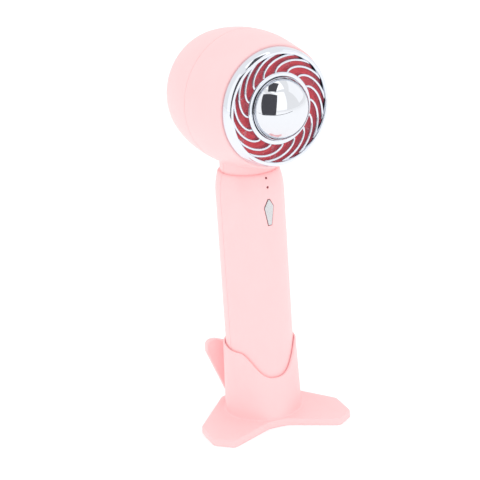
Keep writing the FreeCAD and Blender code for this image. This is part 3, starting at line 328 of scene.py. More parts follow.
PINK = (0.88, 0.580, 0.585)
PINK_PAINTED_GLOW = (0.10, 0.026, 0.030)     # painted glow: an even emission that lifts the pink plastic's shaded parts and gaps
RED_PAINTED_GLOW = (0.125, 0.044, 0.055)    # painted glow: an even emission that brightens the red plastic where it lies in shade behind the grille
FINISHES = [
    # the two pink finishes below carry a painted glow that brightens their shaded parts
    finish("stand_plastic", PINK, vary=0.012, patch=14, rough=(0.36, 0.44), grain=0.25, depth=0.0016,
           Specular_IOR_Level=0.42, Emission_Color=(*PINK_PAINTED_GLOW, 1.0), Emission_Strength=1.0),
    finish("housing_plastic", PINK, vary=0.012, patch=14, rough=(0.32, 0.40), grain=0.25, depth=0.0014,
           Specular_IOR_Level=0.45, Emission_Color=(*PINK_PAINTED_GLOW, 1.0), Emission_Strength=1.0),
    finish("grille_chrome", (0.77, 0.80, 0.86), vary=0.015, patch=6, rough=(0.05, 0.10), grain=1.6,
           depth=0.0010, Metallic=1.0),
    finish("dome_chrome", (0.76, 0.78, 0.82), vary=0.01, patch=8, rough=(0.02, 0.05), grain=3.0,
           depth=0.0006, Metallic=1.0),
    # painted glow below: emission that brightens the red impeller in the shade behind the grille
    finish("impeller_plastic", (0.86, 0.24, 0.27), vary=0.08, patch=5, rough=(0.16, 0.26), grain=0.5,
           depth=0.003, Emission_Color=(*RED_PAINTED_GLOW, 1.0), Emission_Strength=1.0, Coat_Weight=0.5,
           Coat_Roughness=0.08),
    finish("button_silver", (0.63, 0.64, 0.655), vary=0.02, patch=2, rough=(0.24, 0.32), grain=0.12,
           depth=0.0010, Metallic=1.0),
    finish("light_pipe", (0.22, 0.03, 0.04), vary=0.10, patch=0.8, rough=(0.14, 0.22), grain=0.3,
           depth=0.001, Coat_Weight=0.6),
    finish("screw_steel", (0.55, 0.55, 0.58), vary=0.05, patch=1.5, rough=(0.28, 0.42), grain=0.15,
           depth=0.002, Metallic=1.0),
    finish("battery_wrap", (0.06, 0.16, 0.36), vary=0.06, patch=10, rough=(0.22, 0.34), grain=1.2,
           depth=0.006, Coat_Weight=0.3),
    finish("nickel", (0.70, 0.67, 0.62), vary=0.04, patch=2, rough=(0.25, 0.40), grain=0.2, depth=0.002,
           stretch=(1, 6, 1), Metallic=1.0),
    finish("foam", (0.035, 0.035, 0.04), vary=0.25, patch=1.5, rough=(0.85, 0.98), grain=0.45,
           depth=0.08, pattern="cells"),
    finish("lead_insulation", (0.55, 0.03, 0.03), vary=0.05, patch=4, rough=(0.40, 0.52), grain=0.3,
           depth=0.003),
    finish("circuit_board", (0.02, 0.16, 0.06), vary=0.20, patch=1.1, rough=(0.30, 0.42), grain=0.6,
           depth=0.012, pattern="lines", Coat_Weight=0.25),
    finish("switch_case", (0.42, 0.43, 0.45), vary=0.05, patch=1.5, rough=(0.30, 0.45), grain=0.1,
           depth=0.002, Metallic=0.9),
    finish("switch_plunger", (0.025, 0.025, 0.028), vary=0.15, patch=0.8, rough=(0.38, 0.50), grain=0.1,
           depth=0.002),
    finish("led_package", (0.82, 0.82, 0.78), vary=0.03, patch=0.5, rough=(0.35, 0.50), grain=0.1,
           depth=0.001),
    finish("port_metal", (0.62, 0.62, 0.63), vary=0.04, patch=2, rough=(0.22, 0.34), grain=0.12,
           depth=0.0015, stretch=(1, 5, 1), Metallic=1.0),
    finish("port_tongue", (0.02, 0.02, 0.022), vary=0.2, patch=0.8, rough=(0.45, 0.58), grain=0.12,
           depth=0.002),
    finish("aluminium", (0.72, 0.73, 0.75), vary=0.04, patch=3, rough=(0.28, 0.40), grain=0.25,
           depth=0.003, stretch=(1, 1, 8), Metallic=1.0),
    finish("thermal_pad", (0.36, 0.42, 0.50), vary=0.05, patch=2, rough=(0.70, 0.85), grain=0.3,
           depth=0.006),
    finish("ceramic", (0.85, 0.84, 0.80), vary=0.02, patch=3, rough=(0.50, 0.62), grain=0.2, depth=0.003),
    # painted glow below: emission that brightens the red inner parts in the shade behind the grille
    finish("inner_plastic", (0.86, 0.24, 0.27), vary=0.08, patch=6, rough=(0.32, 0.44), grain=0.3,
           depth=0.003, Emission_Color=(*RED_PAINTED_GLOW, 1.0), Emission_Strength=1.0),
    finish("rotor_steel", (0.45, 0.45, 0.47), vary=0.05, patch=2, rough=(0.28, 0.40), grain=0.3,
           depth=0.002, stretch=(1, 8, 1), Metallic=1.0),
    finish("magnet", (0.06, 0.055, 0.05), vary=0.15, patch=1.5, rough=(0.50, 0.68), grain=0.2,
           depth=0.008),
    finish("shaft_steel", (0.66, 0.66, 0.68), vary=0.03, patch=1, rough=(0.12, 0.20), grain=0.1,
           depth=0.0006, Metallic=1.0),
    finish("stator_steel", (0.34, 0.35, 0.38), vary=0.06, patch=1.5, rough=(0.35, 0.5), grain=0.35,
           depth=0.03, pattern="lines", stretch=(0, 1, 0), Metallic=0.9),
    finish("copper", (0.78, 0.33, 0.14), vary=0.08, patch=1.0, rough=(0.22, 0.34), grain=0.5, depth=0.08,
           pattern="lines", stretch=(1, 0.15, 1), Metallic=1.0),
    finish("bearing_bronze", (0.60, 0.42, 0.18), vary=0.06, patch=0.8, rough=(0.35, 0.50), grain=0.2,
           depth=0.01, Metallic=1.0),
]
MATERIALS = {material.name: material for material in FINISHES}

CARRIED_OVER = {
    "housing_screws": "screw_steel", "bracket_screws": "screw_steel", "battery_cell": "battery_wrap",
    "battery_tabs": "nickel", "battery_foam_pads": "foam", "battery_leads": "lead_insulation",
    "main_board": "circuit_board", "charge_board": "circuit_board", "motor_board": "circuit_board",
    "switch_body": "switch_case", "switch_plunger": "switch_plunger", "led_chips": "led_package",
    "led_lenses": "light_pipe", "usb_shell": "port_metal", "usb_tongue": "port_tongue",
    "cold_plate": "aluminium", "heat_sink": "aluminium", "thermal_pads": "thermal_pad",
    "peltier_module": "ceramic", "module_cup": "inner_plastic", "motor_bracket": "inner_plastic",
    "air_duct": "inner_plastic", "rotor_can": "rotor_steel", "magnet_ring": "magnet",
    "motor_shaft": "shaft_steel", "motor_stator": "stator_steel", "motor_windings": "copper",
    "shaft_bearings": "bearing_bronze",
}
for node, slot in CARRIED_OVER.items():
    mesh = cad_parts[node].data
    mesh.materials.clear()
    mesh.materials.append(MATERIALS[slot])
    mesh.polygons.foreach_set("use_smooth", [True] * len(mesh.polygons))


def install(piece, body, slot, *nodes):
    """Gives a piece its finish, and has it ride on its body in place of the CAD nodes."""
    piece.data.materials.clear()
    piece.data.materials.append(MATERIALS[slot])
    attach(piece, body)
    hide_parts(*nodes)


# ---------------------------------------------------------------- head

CROWN = 1.4                     # how far in front of the axis the head is widest
FRONT_ARC, REAR_ARC, CORNER_ARC = 70.0, 80.0, 17.5
FRONT_RUN = 12.6                # depth of the front arc; the side runs straight from there to the lip
REAR_TURN, CORNER_TURN = 17.0, 85.0

corner_radius = HEAD_RADIUS - REAR_ARC + (REAR_ARC - CORNER_ARC) * math.cos(math.radians(REAR_TURN))
corner_level = CROWN - (REAR_ARC - CORNER_ARC) * math.sin(math.radians(REAR_TURN))
CAP_ARC = CORNER_ARC + corner_radius / math.cos(math.radians(CORNER_TURN))
cap_level = corner_level + (CAP_ARC - CORNER_ARC) * math.sin(math.radians(CORNER_TURN))


def head_radius_at(level):
    """Radius of the head at a level in front of its axis, from the lip to the end of the rear arc."""
    if level > CROWN + FRONT_RUN:
        lead = math.asin(FRONT_RUN / FRONT_ARC)
        bend = HEAD_RADIUS - FRONT_ARC + FRONT_ARC * math.cos(lead)
        return bend - (level - CROWN - FRONT_RUN) * math.tan(lead)
    arc_radius = FRONT_ARC if level > CROWN else REAR_ARC
    return HEAD_RADIUS - arc_radius + math.sqrt(arc_radius ** 2 - (level - CROWN) ** 2)


def rear_level_at(radius):
    """Level of the rear cover at a radius inside its rounded corner."""
    if radius < corner_radius + CORNER_ARC * math.cos(math.radians(CORNER_TURN)):
        return cap_level - math.sqrt(CAP_ARC ** 2 - radius ** 2)
    return corner_level - math.sqrt(CORNER_ARC ** 2 - (radius - corner_radius) ** 2)


NECK_RADIUS, SPIGOT_RADIUS = 14.1, 13.1
SPIGOT_BOTTOM = front_low.z
NECK_FILLET = 0.8
NECK_OVERLAP = 0.4              # how far the fillet's edge reaches into the head
LIP_ROUND = 0.8                 # rounding of the head's front edge
LIP_UNDER_BEZEL = 0.8           # how far that edge runs in behind the bezel


def neck_half(direction, columns=48):
    """Half of the neck, from the spigot inside the handle to a small fillet under the head."""
    rows = []
    for column in range(columns + 1):
        angle = -90 + 180.0 * column / columns
        side, ahead = math.sin(math.radians(angle)), math.cos(math.radians(angle))

        def under_head(radius):
            head_radius = head_radius_at(direction * radius * ahead)
            return HEAD_HEIGHT - math.sqrt(head_radius ** 2 - (radius * side) ** 2)

        rest = under_head(NECK_RADIUS) - NECK_FILLET
        line = [(SPIGOT_RADIUS, SPIGOT_BOTTOM), (SPIGOT_RADIUS, HANDLE_TOP), (NECK_RADIUS, HANDLE_TOP),
                (NECK_RADIUS, (HANDLE_TOP + rest) / 2), (NECK_RADIUS, rest)]
        for turn in (25, 50, 75, 90):
            radius = NECK_RADIUS + NECK_FILLET * (1 - math.cos(math.radians(turn)))
            line.append((radius, under_head(radius) - NECK_FILLET * (1 - math.sin(math.radians(turn)))))
        line.append((NECK_RADIUS + NECK_FILLET, under_head(NECK_RADIUS + NECK_FILLET) + NECK_OVERLAP))
        rows.append([(radius * side, -direction * max(radius * ahead, SEAM), level)
                     for radius, level in line])
    points = [point for line in rows for point in line]
    return points, grid_faces(len(rows), len(rows[0]))


def head_front():
    start = HEAD_FRONT - LIP_ROUND
    lip = head_radius_at(start) - LIP_ROUND
    rim = on_circle((lip, start), LIP_ROUND, (90, 67, 45, 22))
    levels = [start - (start - CROWN - FRONT_RUN) * step / 5 for step in range(6)]
    levels += [CROWN + FRONT_RUN * (1 - step / 9) for step in range(1, 10)] + [SEAM]
    rows = [(BEZEL_RADIUS - LIP_UNDER_BEZEL, HEAD_FRONT)] + rim
    rows += [(head_radius_at(level), level) for level in levels]
    shell = Shell().add(*lathe(rows, 192, closed=False), HEAD).add(*neck_half(1))
    piece = thicken(make("head_front_moulding", shell))
    install(piece, "fan_body", "housing_plastic", "head_front_shell")


INTAKE_SLOTS = 24
INTAKE_INNER, INTAKE_OUTER, INTAKE_WIDTH = 14.0, 28.3, 2.2
REAR_LEVELS = (-SEAM, -2.5, -5, -8, -11, -14, -17, -19.5, -21.7)    # rows along the rear cover's side
REAR_CORNER_RADII = (29.7, 29.2, 28.7)                              # rows in its rounded corner
REAR_CENTRE_RADII = (13, 11.5, 10, 8, 6, 4, 2, 0)                   # rows inside the slots


def head_rear():
    """Rear cover: one sector for each intake slot, the sheet's columns parting round the slot."""
    half = INTAKE_WIDTH / 2
    rows = [(head_radius_at(level), level, 0.0) for level in REAR_LEVELS]
    rows += [(radius, rear_level_at(radius), 0.0) for radius in REAR_CORNER_RADII]
    outer = on_circle((INTAKE_OUTER - half, 0.0), half, (0, 22, 44, 67, 90))
    inner = on_circle((INTAKE_INNER + half, 0.0), half, (90, 113, 136, 158, 180))
    steps = 12
    run = inner[0][0] - outer[-1][0]
    straight = [(outer[-1][0] + run * step / steps, half) for step in range(1, steps)]
    start = len(rows)
    for radius, width in outer + straight + inner:
        rows.append((radius, rear_level_at(radius), width))
    opened = set(range(start, len(rows) - 1))
    rows += [(radius, rear_level_at(radius), 0.0) for radius in REAR_CENTRE_RADII]
    sector = 360.0 / INTAKE_SLOTS
    shell = Shell().add(*pierced(rows, opened, INTAKE_SLOTS, sector, 5, middle=sector / 2), HEAD)
    shell.add(*neck_half(-1))
    piece = thicken(make("head_rear_moulding", shell))
    install(piece, "fan_body", "housing_plastic", "head_rear_shell")


# ---------------------------------------------------------------- handle

SHOULDER = 119.0                # where the handle starts to draw in
SHOULDER_DRAW = 1.8             # how much its radius has shrunk at the top
SHOULDER_EASE = 2.2             # the higher, the later the shoulder draws in
TOP_ROUND = 0.5                 # rounding of its top edge


def handle_radius_at(level):
    """Radius of the handle at a height: straight, then an eased shoulder."""
    share = max((level - SHOULDER) / (HANDLE_TOP - SHOULDER), 0.0)
    return HANDLE_RADIUS - SHOULDER_DRAW * share ** SHOULDER_EASE


def handle_levels(low, high, pitch=5.0):
    count = math.ceil((high - low) / pitch)
    return [low + (high - low) * step / count for step in range(count + 1)]


BUTTON_BOTTOM, BUTTON_WIDEST, BUTTON_TOP = 105.3, 114.6, 118.3
BUTTON_HALF, BUTTON_FOOT, BUTTON_TIP = 2.6, 0.9, 0.35       # half widths of the kite
BUTTON_GAP = 0.35
LIGHTS = (124.5, 129.0)         # heights of the two lights
LIGHT_HOLE = 0.65
SCREWS = (12.5, 90.2)           # heights of the housing screws
SCREW_BORE, POST_RADIUS, POST_START = 1.12, 3.0, 0.3        # posts in the front half
SCREW_HOLE, WELL_BORE, WELL_RADIUS = 1.3, 2.7, 3.4          # wells in the rear half
WELL_START, WELL_FLOOR = 7.0, 8.0
PORT_GAP, PORT_CORNER = 0.25, 1.4


def handle_plain_levels():
    levels = handle_levels(HANDLE_BOTTOM, SHOULDER)
    return levels + [SHOULDER + (HANDLE_TOP - TOP_ROUND - SHOULDER) * step / 8 for step in range(1, 9)]


def handle_rim():
    """The last rows, where the wall rounds over into the top face and runs in under the neck."""
    radius, level = handle_radius_at(HANDLE_TOP) - TOP_ROUND, HANDLE_TOP - TOP_ROUND
    rim = [(*point, 0.0) for point in on_circle((radius, level), TOP_ROUND, (20, 45, 70, 90))]
    return rim + [(NECK_RADIUS, HANDLE_TOP, 0.0), ((NECK_RADIUS + SPIGOT_RADIUS) / 2, HANDLE_TOP, 0.0)]


def half_handle(rows, opened, middle):
    """A half of the handle's sheet, which stops short of the parting plane by the seam."""
    spread = 180.0 - 2 * math.degrees(math.asin(SEAM / HANDLE_RADIUS))
    return Shell().add(*pierced(rows + handle_rim(), opened, 1, spread, 44, middle=middle))


def tube(inner, outer, low, high):
    return lathe(rounded([(inner, low, 0), (outer, low, 0), (outer, high, 0), (inner, high, 0)]), 48)


def handle_front():
    """Front moulding with the button's kite-shaped opening and two holes for the lights."""
    kite = [(BUTTON_BOTTOM - BUTTON_GAP, BUTTON_FOOT + BUTTON_GAP),
            (BUTTON_WIDEST, BUTTON_HALF + BUTTON_GAP), (BUTTON_TOP + BUTTON_GAP, BUTTON_TIP + BUTTON_GAP)]
    sides = [(low + (high - low) * step / 3, wide + (narrow - wide) * step / 3)
             for (low, wide), (high, narrow) in zip(kite, kite[1:]) for step in range(3)]
    openings = [sides + kite[-1:]] + [round_hole(level, LIGHT_HOLE) for level in LIGHTS]
    rows, opened = with_openings(handle_plain_levels(), openings, handle_radius_at)
    piece = thicken(make("handle_front_moulding", half_handle(rows, opened, -90.0)))
    posts = Shell()
    for level in SCREWS:
        posts.add(*tube(SCREW_BORE, POST_RADIUS, POST_START, HANDLE_RADIUS - WALL + 0.5), facing(1, level))
    join(piece, make("handle_posts", posts))
    install(piece, "fan_body", "housing_plastic", "handle_front_shell")


def handle_rear():
    """Rear moulding with the charging port's opening and two screw wells."""
    port_level, port_half = (port_low.z + port_high.z) / 2, (port_high.x - port_low.x) / 2 + PORT_GAP
    port_rise = (port_high.z - port_low.z) / 2 + PORT_GAP
    port = arc((port_level - port_rise + PORT_CORNER, port_half - PORT_CORNER), PORT_CORNER, 180, 90, 4)
    port += [(2 * port_level - level, half) for level, half in reversed(port)]
    openings = [port] + [round_hole(level, WELL_BORE, 14) for level in SCREWS]
    rows, opened = with_openings(handle_plain_levels(), openings, handle_radius_at)
    piece = thicken(make("handle_rear_moulding", half_handle(rows, opened, 90.0)))
    mouth = HANDLE_RADIUS - 1.2
    well = rounded([(SCREW_HOLE, WELL_START, 0), (WELL_RADIUS, WELL_START, 0.2), (WELL_RADIUS, mouth, 0),
                    (WELL_BORE, mouth, 0), (WELL_BORE, WELL_FLOOR, 0.15), (SCREW_HOLE, WELL_FLOOR, 0)])
    wells = Shell()
    for level in SCREWS:
        wells.add(*lathe(well, 48), facing(-1, level))
    join(piece, make("handle_wells", wells))
    install(piece, "fan_body", "housing_plastic", "handle_rear_shell")


def join(piece, other):
    """Adds another object's mesh to a piece."""
    work = bmesh.new()
    work.from_mesh(piece.data)
    work.from_mesh(other.data)
    work.to_mesh(piece.data)
    work.free()
    bpy.data.objects.remove(other)


def end_cap():
    low, high = (corner.z for corner in span("handle_end_cap"))
    inner = HANDLE_RADIUS - WALL - 0.1
    profile = rounded([(0, low, 0), (HANDLE_RADIUS, low, 1.2), (HANDLE_RADIUS, HANDLE_BOTTOM, 0.12),
                       (inner, HANDLE_BOTTOM, 0), (inner, high, 0.3), (0, high, 0)])
    piece = make("handle_end", Shell().add(*lathe(profile, 160, closed=False)))
    install(piece, "fan_body", "housing_plastic", "handle_end_cap")


def power_button():
    """Kite-shaped cap: a low pyramid of soft facets on a face that follows the handle's round."""
    proud, crown, edge, skirt = 0.35, 0.18, 0.28, 4.2
    corners = [(-BUTTON_FOOT, BUTTON_BOTTOM), (BUTTON_FOOT, BUTTON_BOTTOM), (BUTTON_HALF, BUTTON_WIDEST),
               (BUTTON_TIP, BUTTON_TOP), (-BUTTON_TIP, BUTTON_TOP), (-BUTTON_HALF, BUTTON_WIDEST)]
    outline = []
    for (x, z), (x_next, z_next) in zip(corners, corners[1:] + corners[:1]):
        steps = 8
        outline += [(x + (x_next - x) * step / steps, z + (z_next - z) * step / steps)
                    for step in range(steps)]
    middle = BUTTON_WIDEST - 1.6
    rings = [(1.0, -skirt), (1.0, -edge)]
    rings += [(1 - 0.10 * (1 - math.cos(math.radians(turn))), -edge + edge * math.sin(math.radians(turn)))
              for turn in (30, 60, 90)]
    rings += [(share, crown * (0.9 - share) / 0.9) for share in (0.7, 0.5, 0.3, 0.12, 0.0)]
    points = []
    for share, lift in rings:
        for x, z in outline:
            front = math.sqrt((HANDLE_RADIUS + proud - crown + lift) ** 2 - (x * share) ** 2)
            points.append((x * share, -front, middle + (z - middle) * share))
    count = len(outline)
    shell = Shell().add(points, grid_faces(len(rings), count, closed_columns=True) + [tuple(range(count))])

    flange_front, flange_depth = 0.65 - (HANDLE_RADIUS - WALL), 0.8
    wider, taller = 1 + 0.7 / BUTTON_HALF, 1.09
    flange = [(x * wider, middle + (z - middle) * taller) for x, z in outline]
    points = [(x, level, z) for level in (flange_front, flange_front + flange_depth) for x, z in flange]
    ends = [tuple(range(count)), tuple(range(count, 2 * count))]
    shell.add(points, grid_faces(2, count, closed_columns=True) + ends)

    stem, stem_radius = span("power_button")[1].y, 1.2
    stem_profile = rounded([(0, -stem, 0), (stem_radius, -stem, 0.2), (stem_radius, -flange_front, 0),
                            (0, -flange_front, 0)])
    shell.add(*lathe(stem_profile, 32, closed=False), facing(1, (BUTTON_BOTTOM + BUTTON_TOP) / 2))
    piece = make("button_cap", shell, crease=28)
    install(piece, "button_body", "button_silver", "power_button")


# ---------------------------------------------------------------- grille and dome

GRILLE_OUTER, GRILLE_FACE, GRILLE_BACK = 25.8, 31.5, 26.5
HUB_OUTER, HUB_INNER = 17.5, 15.45
RIBS, RIB_SWEEP, RIB_PHASE = 16, 48.0, 22.5
RIB_HALF, RIB_DEPTH = 0.6, 4.0
RIB_BEND = 1.7                  # the higher, the straighter a rib leaves the hub ring
SKIRT_INNER, SKIRT_OUTER, SKIRT_DEPTH = 26.6, 27.75, 5.0
HUB_PROUD = 0.6                 # how far the hub ring stands out of the ribs


def rib_line(share):
    """Centre of a rib at a share of its way out, clockwise from the top, and its direction there."""
    inner, outer = HUB_OUTER - 0.3, GRILLE_OUTER + 0.4
    radius = inner + (outer - inner) * share
    turn = math.radians(RIB_PHASE - RIB_SWEEP * (1 - share ** RIB_BEND))
    slope = math.radians(RIB_SWEEP) * RIB_BEND * share ** (RIB_BEND - 1) * radius / (outer - inner)
    outward = Vector((math.sin(turn), math.cos(turn), 0))
    around = Vector((math.cos(turn), -math.sin(turn), 0))
    return outward * radius, (outward + around * slope).normalized()


def rib():
    """One swept rib with a half-round front."""
    section = [(-RIB_HALF, -RIB_DEPTH), (-RIB_HALF, -RIB_HALF)]
    section += [(RIB_HALF * x, RIB_HALF * (y - 1)) for x, y in arc((0, 0), 1.0, 155, 25, 5)]
    section += [(RIB_HALF, -RIB_HALF), (RIB_HALF, -RIB_DEPTH)]
    steps = 20
    points = []
    for step in range(steps + 1):
        point, along = rib_line(step / steps)
        across = Vector((-along.y, along.x, 0))
        points += [point + across * side + Vector((0, 0, GRILLE_FACE + level)) for side, level in section]
    count = len(section)
    faces = grid_faces(steps + 1, count, closed_columns=True)
    faces += [tuple(range(count)), tuple(range(steps * count, (steps + 1) * count))]
    return points, faces


def grille():
    """Bezel, sixteen swept ribs and the ring round the dome."""
    back = GRILLE_BACK + 0.2
    skirt = back - SKIRT_DEPTH
    profile = rounded([(GRILLE_OUTER, GRILLE_FACE - 0.4, 0), (GRILLE_OUTER, GRILLE_BACK, 0),
                       (SKIRT_INNER, GRILLE_BACK, 0), (SKIRT_INNER, skirt, 0), (SKIRT_OUTER, skirt, 0.2),
                       (SKIRT_OUTER, back, 0), (BEZEL_RADIUS, back, 0.2),
                       (BEZEL_RADIUS - 0.12, back + 1.6, 0), (BEZEL_RADIUS - 0.45, back + 3.3, 0),
                       (BEZEL_RADIUS - 0.95, back + 4.7, 0), (BEZEL_RADIUS - 1.6, BEZEL_FRONT, 0.45),
                       (GRILLE_OUTER + 0.25, BEZEL_FRONT, 0.4)], 4)
    shell = Shell().add(*lathe(profile, 224), HEAD)
    hub_back, hub_front = GRILLE_FACE - RIB_DEPTH, GRILLE_FACE + HUB_PROUD
    hub = rounded([(HUB_INNER, hub_back, 0), (HUB_OUTER, hub_back, 0), (HUB_OUTER, hub_front, 0.7),
                   (HUB_INNER, hub_front, 0.25)], 5)
    shell.add(*lathe(hub, 160), HEAD)
    points, faces = rib()
    for index in range(RIBS):
        turn = Matrix.Rotation(math.radians(360.0 * index / RIBS), 4, "Z")
        shell.add(points, faces, HEAD @ turn)
    piece = make("grille_moulding", shell, crease=38)
    install(piece, "fan_body", "grille_chrome", "grille_bezel")


def dome():
    """Thin polished cap with a skirt."""
    sphere, skin = 16.2, 1.2
    centre = DOME_FRONT - sphere
    rim = centre + math.sqrt(sphere ** 2 - DOME_RADIUS ** 2)
    edge = math.degrees(math.asin(DOME_RADIUS / sphere))

    def cap(radius, widest, steps):
        turns = [math.radians(widest * step / steps) for step in range(steps + 1)]
        return [(radius * math.sin(turn), centre + radius * math.cos(turn)) for turn in turns]

    inner = DOME_RADIUS - skin
    inside = cap(sphere - skin, math.degrees(math.asin(inner / (sphere - skin))), 24)
    profile = cap(sphere, edge, 40) + [(DOME_RADIUS, rim - 0.4), (DOME_RADIUS, DOME_BACK + 0.1),
                                       (DOME_RADIUS - 0.1, DOME_BACK), (inner, DOME_BACK)] + inside[::-1]
    piece = make("dome_cap", Shell().add(*lathe(profile, 192, closed=False), HEAD), crease=40)
    install(piece, "fan_body", "dome_chrome", "cold_dome")


# ---------------------------------------------------------------- impeller

BLADES, BLADE_THICKNESS, BLADE_CAMBER = 7, 1.1, 2.2
BLADE_ANGLE = 43.0              # degrees between a blade and the head's axis
BLADE_LEAN = (BLADE_FRONT - BLADE_BACK) * math.tan(math.radians(BLADE_ANGLE))
HUB_RADIUS, HUB_FRONT, HUB_SKIN = 11.5, 14.7, 1.4
ROTOR_BORE, SHAFT_BORE = 10.35, 0.8
ROOT_IN_HUB = 0.4               # how deep a blade's root sits in the hub
CUP_CLEARANCE, CUP_STARTS, CUP_STEP = 17.8, 15.6, 2.2       # the blades step out round the module cup


def blade():
    """The middle surface of one blade: a cambered strip whose root steps out round the module cup."""
    rows, columns = 30, 10
    points = []
    for row in range(rows + 1):
        share = row / rows
        level = BLADE_BACK + (BLADE_FRONT - BLADE_BACK) * share
        across = BLADE_LEAN * (share - 0.5) + BLADE_CAMBER * math.sin(math.pi * share)
        step_out = min(max((level - CUP_STARTS + CUP_STEP) / CUP_STEP, 0.0), 1.0)
        root = HUB_RADIUS - ROOT_IN_HUB
        root += (CUP_CLEARANCE - root) * step_out * step_out * (3 - 2 * step_out)
        tip = BLADE_TIP - 0.02
        near = math.sqrt(max(root ** 2 - across ** 2, 0.0))
        far = math.sqrt(tip ** 2 - across ** 2)
        points += [(across, near + (far - near) * column / columns, level) for column in range(columns + 1)]
    return points, grid_faces(rows + 1, columns + 1)


def impeller():
    shell = Shell()
    points, faces = blade()
    for index in range(BLADES):
        shell.add(points, faces, HEAD @ Matrix.Rotation(math.radians(360.0 * index / BLADES), 4, "Z"))
    piece = make("impeller_moulding", shell)
    wall = piece.modifiers.new("wall", "SOLIDIFY")
    wall.thickness, wall.offset = BLADE_THICKNESS * MM, 0.0
    soften(piece, 0.32, segments=3)
    settle(piece, 40)
    back, inside = BLADE_BACK + 0.05, HUB_FRONT - HUB_SKIN
    hub = rounded([(SHAFT_BORE, HUB_FRONT, 0), (SHAFT_BORE, inside, 0), (ROTOR_BORE, inside, 0),
                   (ROTOR_BORE, back, 0), (HUB_RADIUS, back, 0.15), (HUB_RADIUS, HUB_FRONT, 1.0)])
    join(piece, make("impeller_hub", Shell().add(*lathe(hub, 128), HEAD)))
    install(piece, "impeller_body", "impeller_plastic", "impeller")


# ---------------------------------------------------------------- stand

BASE, BASE_ROUND = 3.8, 0.9
BASE_BREAK = 0.35               # break on the plate's lower edge
CUP_BORE, BORE_ROUND = HANDLE_RADIUS + 0.3, 0.4
CUP_FILLET = 0.9                # fillet between the cup and the plate
FLOOR_RING = 9.0                # a row on the cup's floor
FOOT_RADIUS, TOP_RADIUS = 19.45, 18.35
SCOOP, LEDGE = 25.7, 39.2        # lowest part of the rim, and its level on the left


def ease(value, low, high):
    """0 before low, 1 after high, a cosine ramp between."""
    return 0.5 - 0.5 * math.cos(math.pi * min(max((value - low) / (high - low), 0.0), 1.0))


def rim_height(angle):
    """Height of the cup's wavy rim, by the angle from the stand's front, positive to the right."""
    lowest, right_end, left_end, ledge_end, climb_end = 5.0, 68.0, 55.0, 60.0, 110.0
    if angle > lowest:
        return SCOOP + (CUP_TOP - SCOOP) * ease(angle, lowest, right_end) ** 1.4
    rise = ease(-angle, -lowest, left_end) ** 1.45
    return SCOOP + (LEDGE - SCOOP) * rise + (CUP_TOP - LEDGE) * ease(-angle, ledge_end, climb_end)


def both_sides(half):
    """Corners of one side and their mirror images, in order round the outline."""
    return half + [(-across, along, radius) for across, along, radius in half[::-1]]


def plate_outline(pitch=1.2, turn=1.8):
    """The floor plate's outline with its two flukes, in runs no longer than pitch or wider than turn."""
    half = [(5.0, -21.2, 8.0), (28.2, -34.0, 2.5), (37.0, -26.6, 4.0), (37.0, -9.2, 4.5), (14.8, 22.2, 4.0)]
    corners = [Vector(point) for point in rounded(both_sides(half), 8)]
    outline = []
    for index, start in enumerate(corners):
        end = corners[(index + 1) % len(corners)]
        count = math.ceil(max((end - start).length / pitch, math.degrees(start.angle(end)) / turn))
        outline += [start.lerp(end, step / count) for step in range(count)]
    return outline


def cup_radius(level):
    return FOOT_RADIUS + (TOP_RADIUS - FOOT_RADIUS) * (level - BASE + 1) / (CUP_TOP + 3 - BASE)


def stand_column(edge):
    """One radial section of the cup and plate, through a point of the plate's outline."""
    angle = math.degrees(math.atan2(edge.x, -edge.y))
    reach, rim = edge.length, rim_height(angle)
    line = [(0.0, BASE), (FLOOR_RING, BASE), (CUP_BORE - BORE_ROUND, BASE), (CUP_BORE, BASE + BORE_ROUND)]
    line += [(CUP_BORE, BASE + BORE_ROUND + (rim - 1.0 - BASE) * share) for share in (0.25, 0.5, 0.75)]
    lip = (cup_radius(rim) - CUP_BORE) / 2
    line += arc((CUP_BORE + lip, rim - lip), lip, 180, 0, 6)
    fillet = min(CUP_FILLET, max((reach - FOOT_RADIUS - BASE_ROUND) * 0.8, 0.1))
    foot = BASE + fillet
    for share in (0.9, 0.78, 0.65, 0.5, 0.35, 0.2, 0.08, 0.0):
        level = foot + (rim - lip - foot) * share
        line.append((cup_radius(level), level))
    line += on_circle((cup_radius(foot) + fillet, foot), fillet, (210, 240, 270))
    start, end = line[-1][0], reach - BASE_ROUND
    line += [(start + (end - start) * share, BASE) for share in (0.33, 0.66, 1.0)]
    line += on_circle((end, BASE - BASE_ROUND), BASE_ROUND, (60, 30, 0))
    line += [(reach, 1.6), (reach, BASE_BREAK), (reach - BASE_BREAK, 0.0)]
    line += [(reach * share, 0.0) for share in (0.7, 0.35, 0.0)]
    turn = math.radians(angle)
    return [(radius * math.sin(turn), -radius * math.cos(turn), level) for radius, level in line]


def upright_plate():
    """The plate that stands behind the cup: it widens upwards and dips in the middle of its top edge."""
    wide, top, low, distance, depth, edge = 22.6, 37.2, 2.8, 17.6, 4.0, 0.8
    outline = rounded(both_sides([(12.0, low, 0), (13.3, 7.5, 1.0), (wide, 31.0, 2.0), (wide, top, 3.4),
                                  (17.0, top, 3.0), (11.5, top - 2.0, 3.0)]), 6)
    inwards = []
    count = len(outline)
    for index in range(count):
        along = (Vector(outline[(index + 1) % count]) - Vector(outline[index - 1])).normalized()
        inwards.append(Vector((-along.y, along.x)))
    points = []
    turns = (90, 60, 30, 0)
    for side, face in ((-1, distance), (1, distance + depth)):
        for turn in turns if side < 0 else turns[::-1]:
            shrink = edge * (1 - math.cos(math.radians(turn)))
            back = edge * (1 - math.sin(math.radians(turn)))
            for point, inward in zip(outline, inwards):
                place = Vector(point) + inward * shrink
                points.append((place.x, face - side * back, place.y))
    rows = 2 * len(turns)
    faces = grid_faces(rows, count, closed_columns=True)
    faces += [tuple(range(count)), tuple(range((rows - 1) * count, rows * count))]
    return points, faces


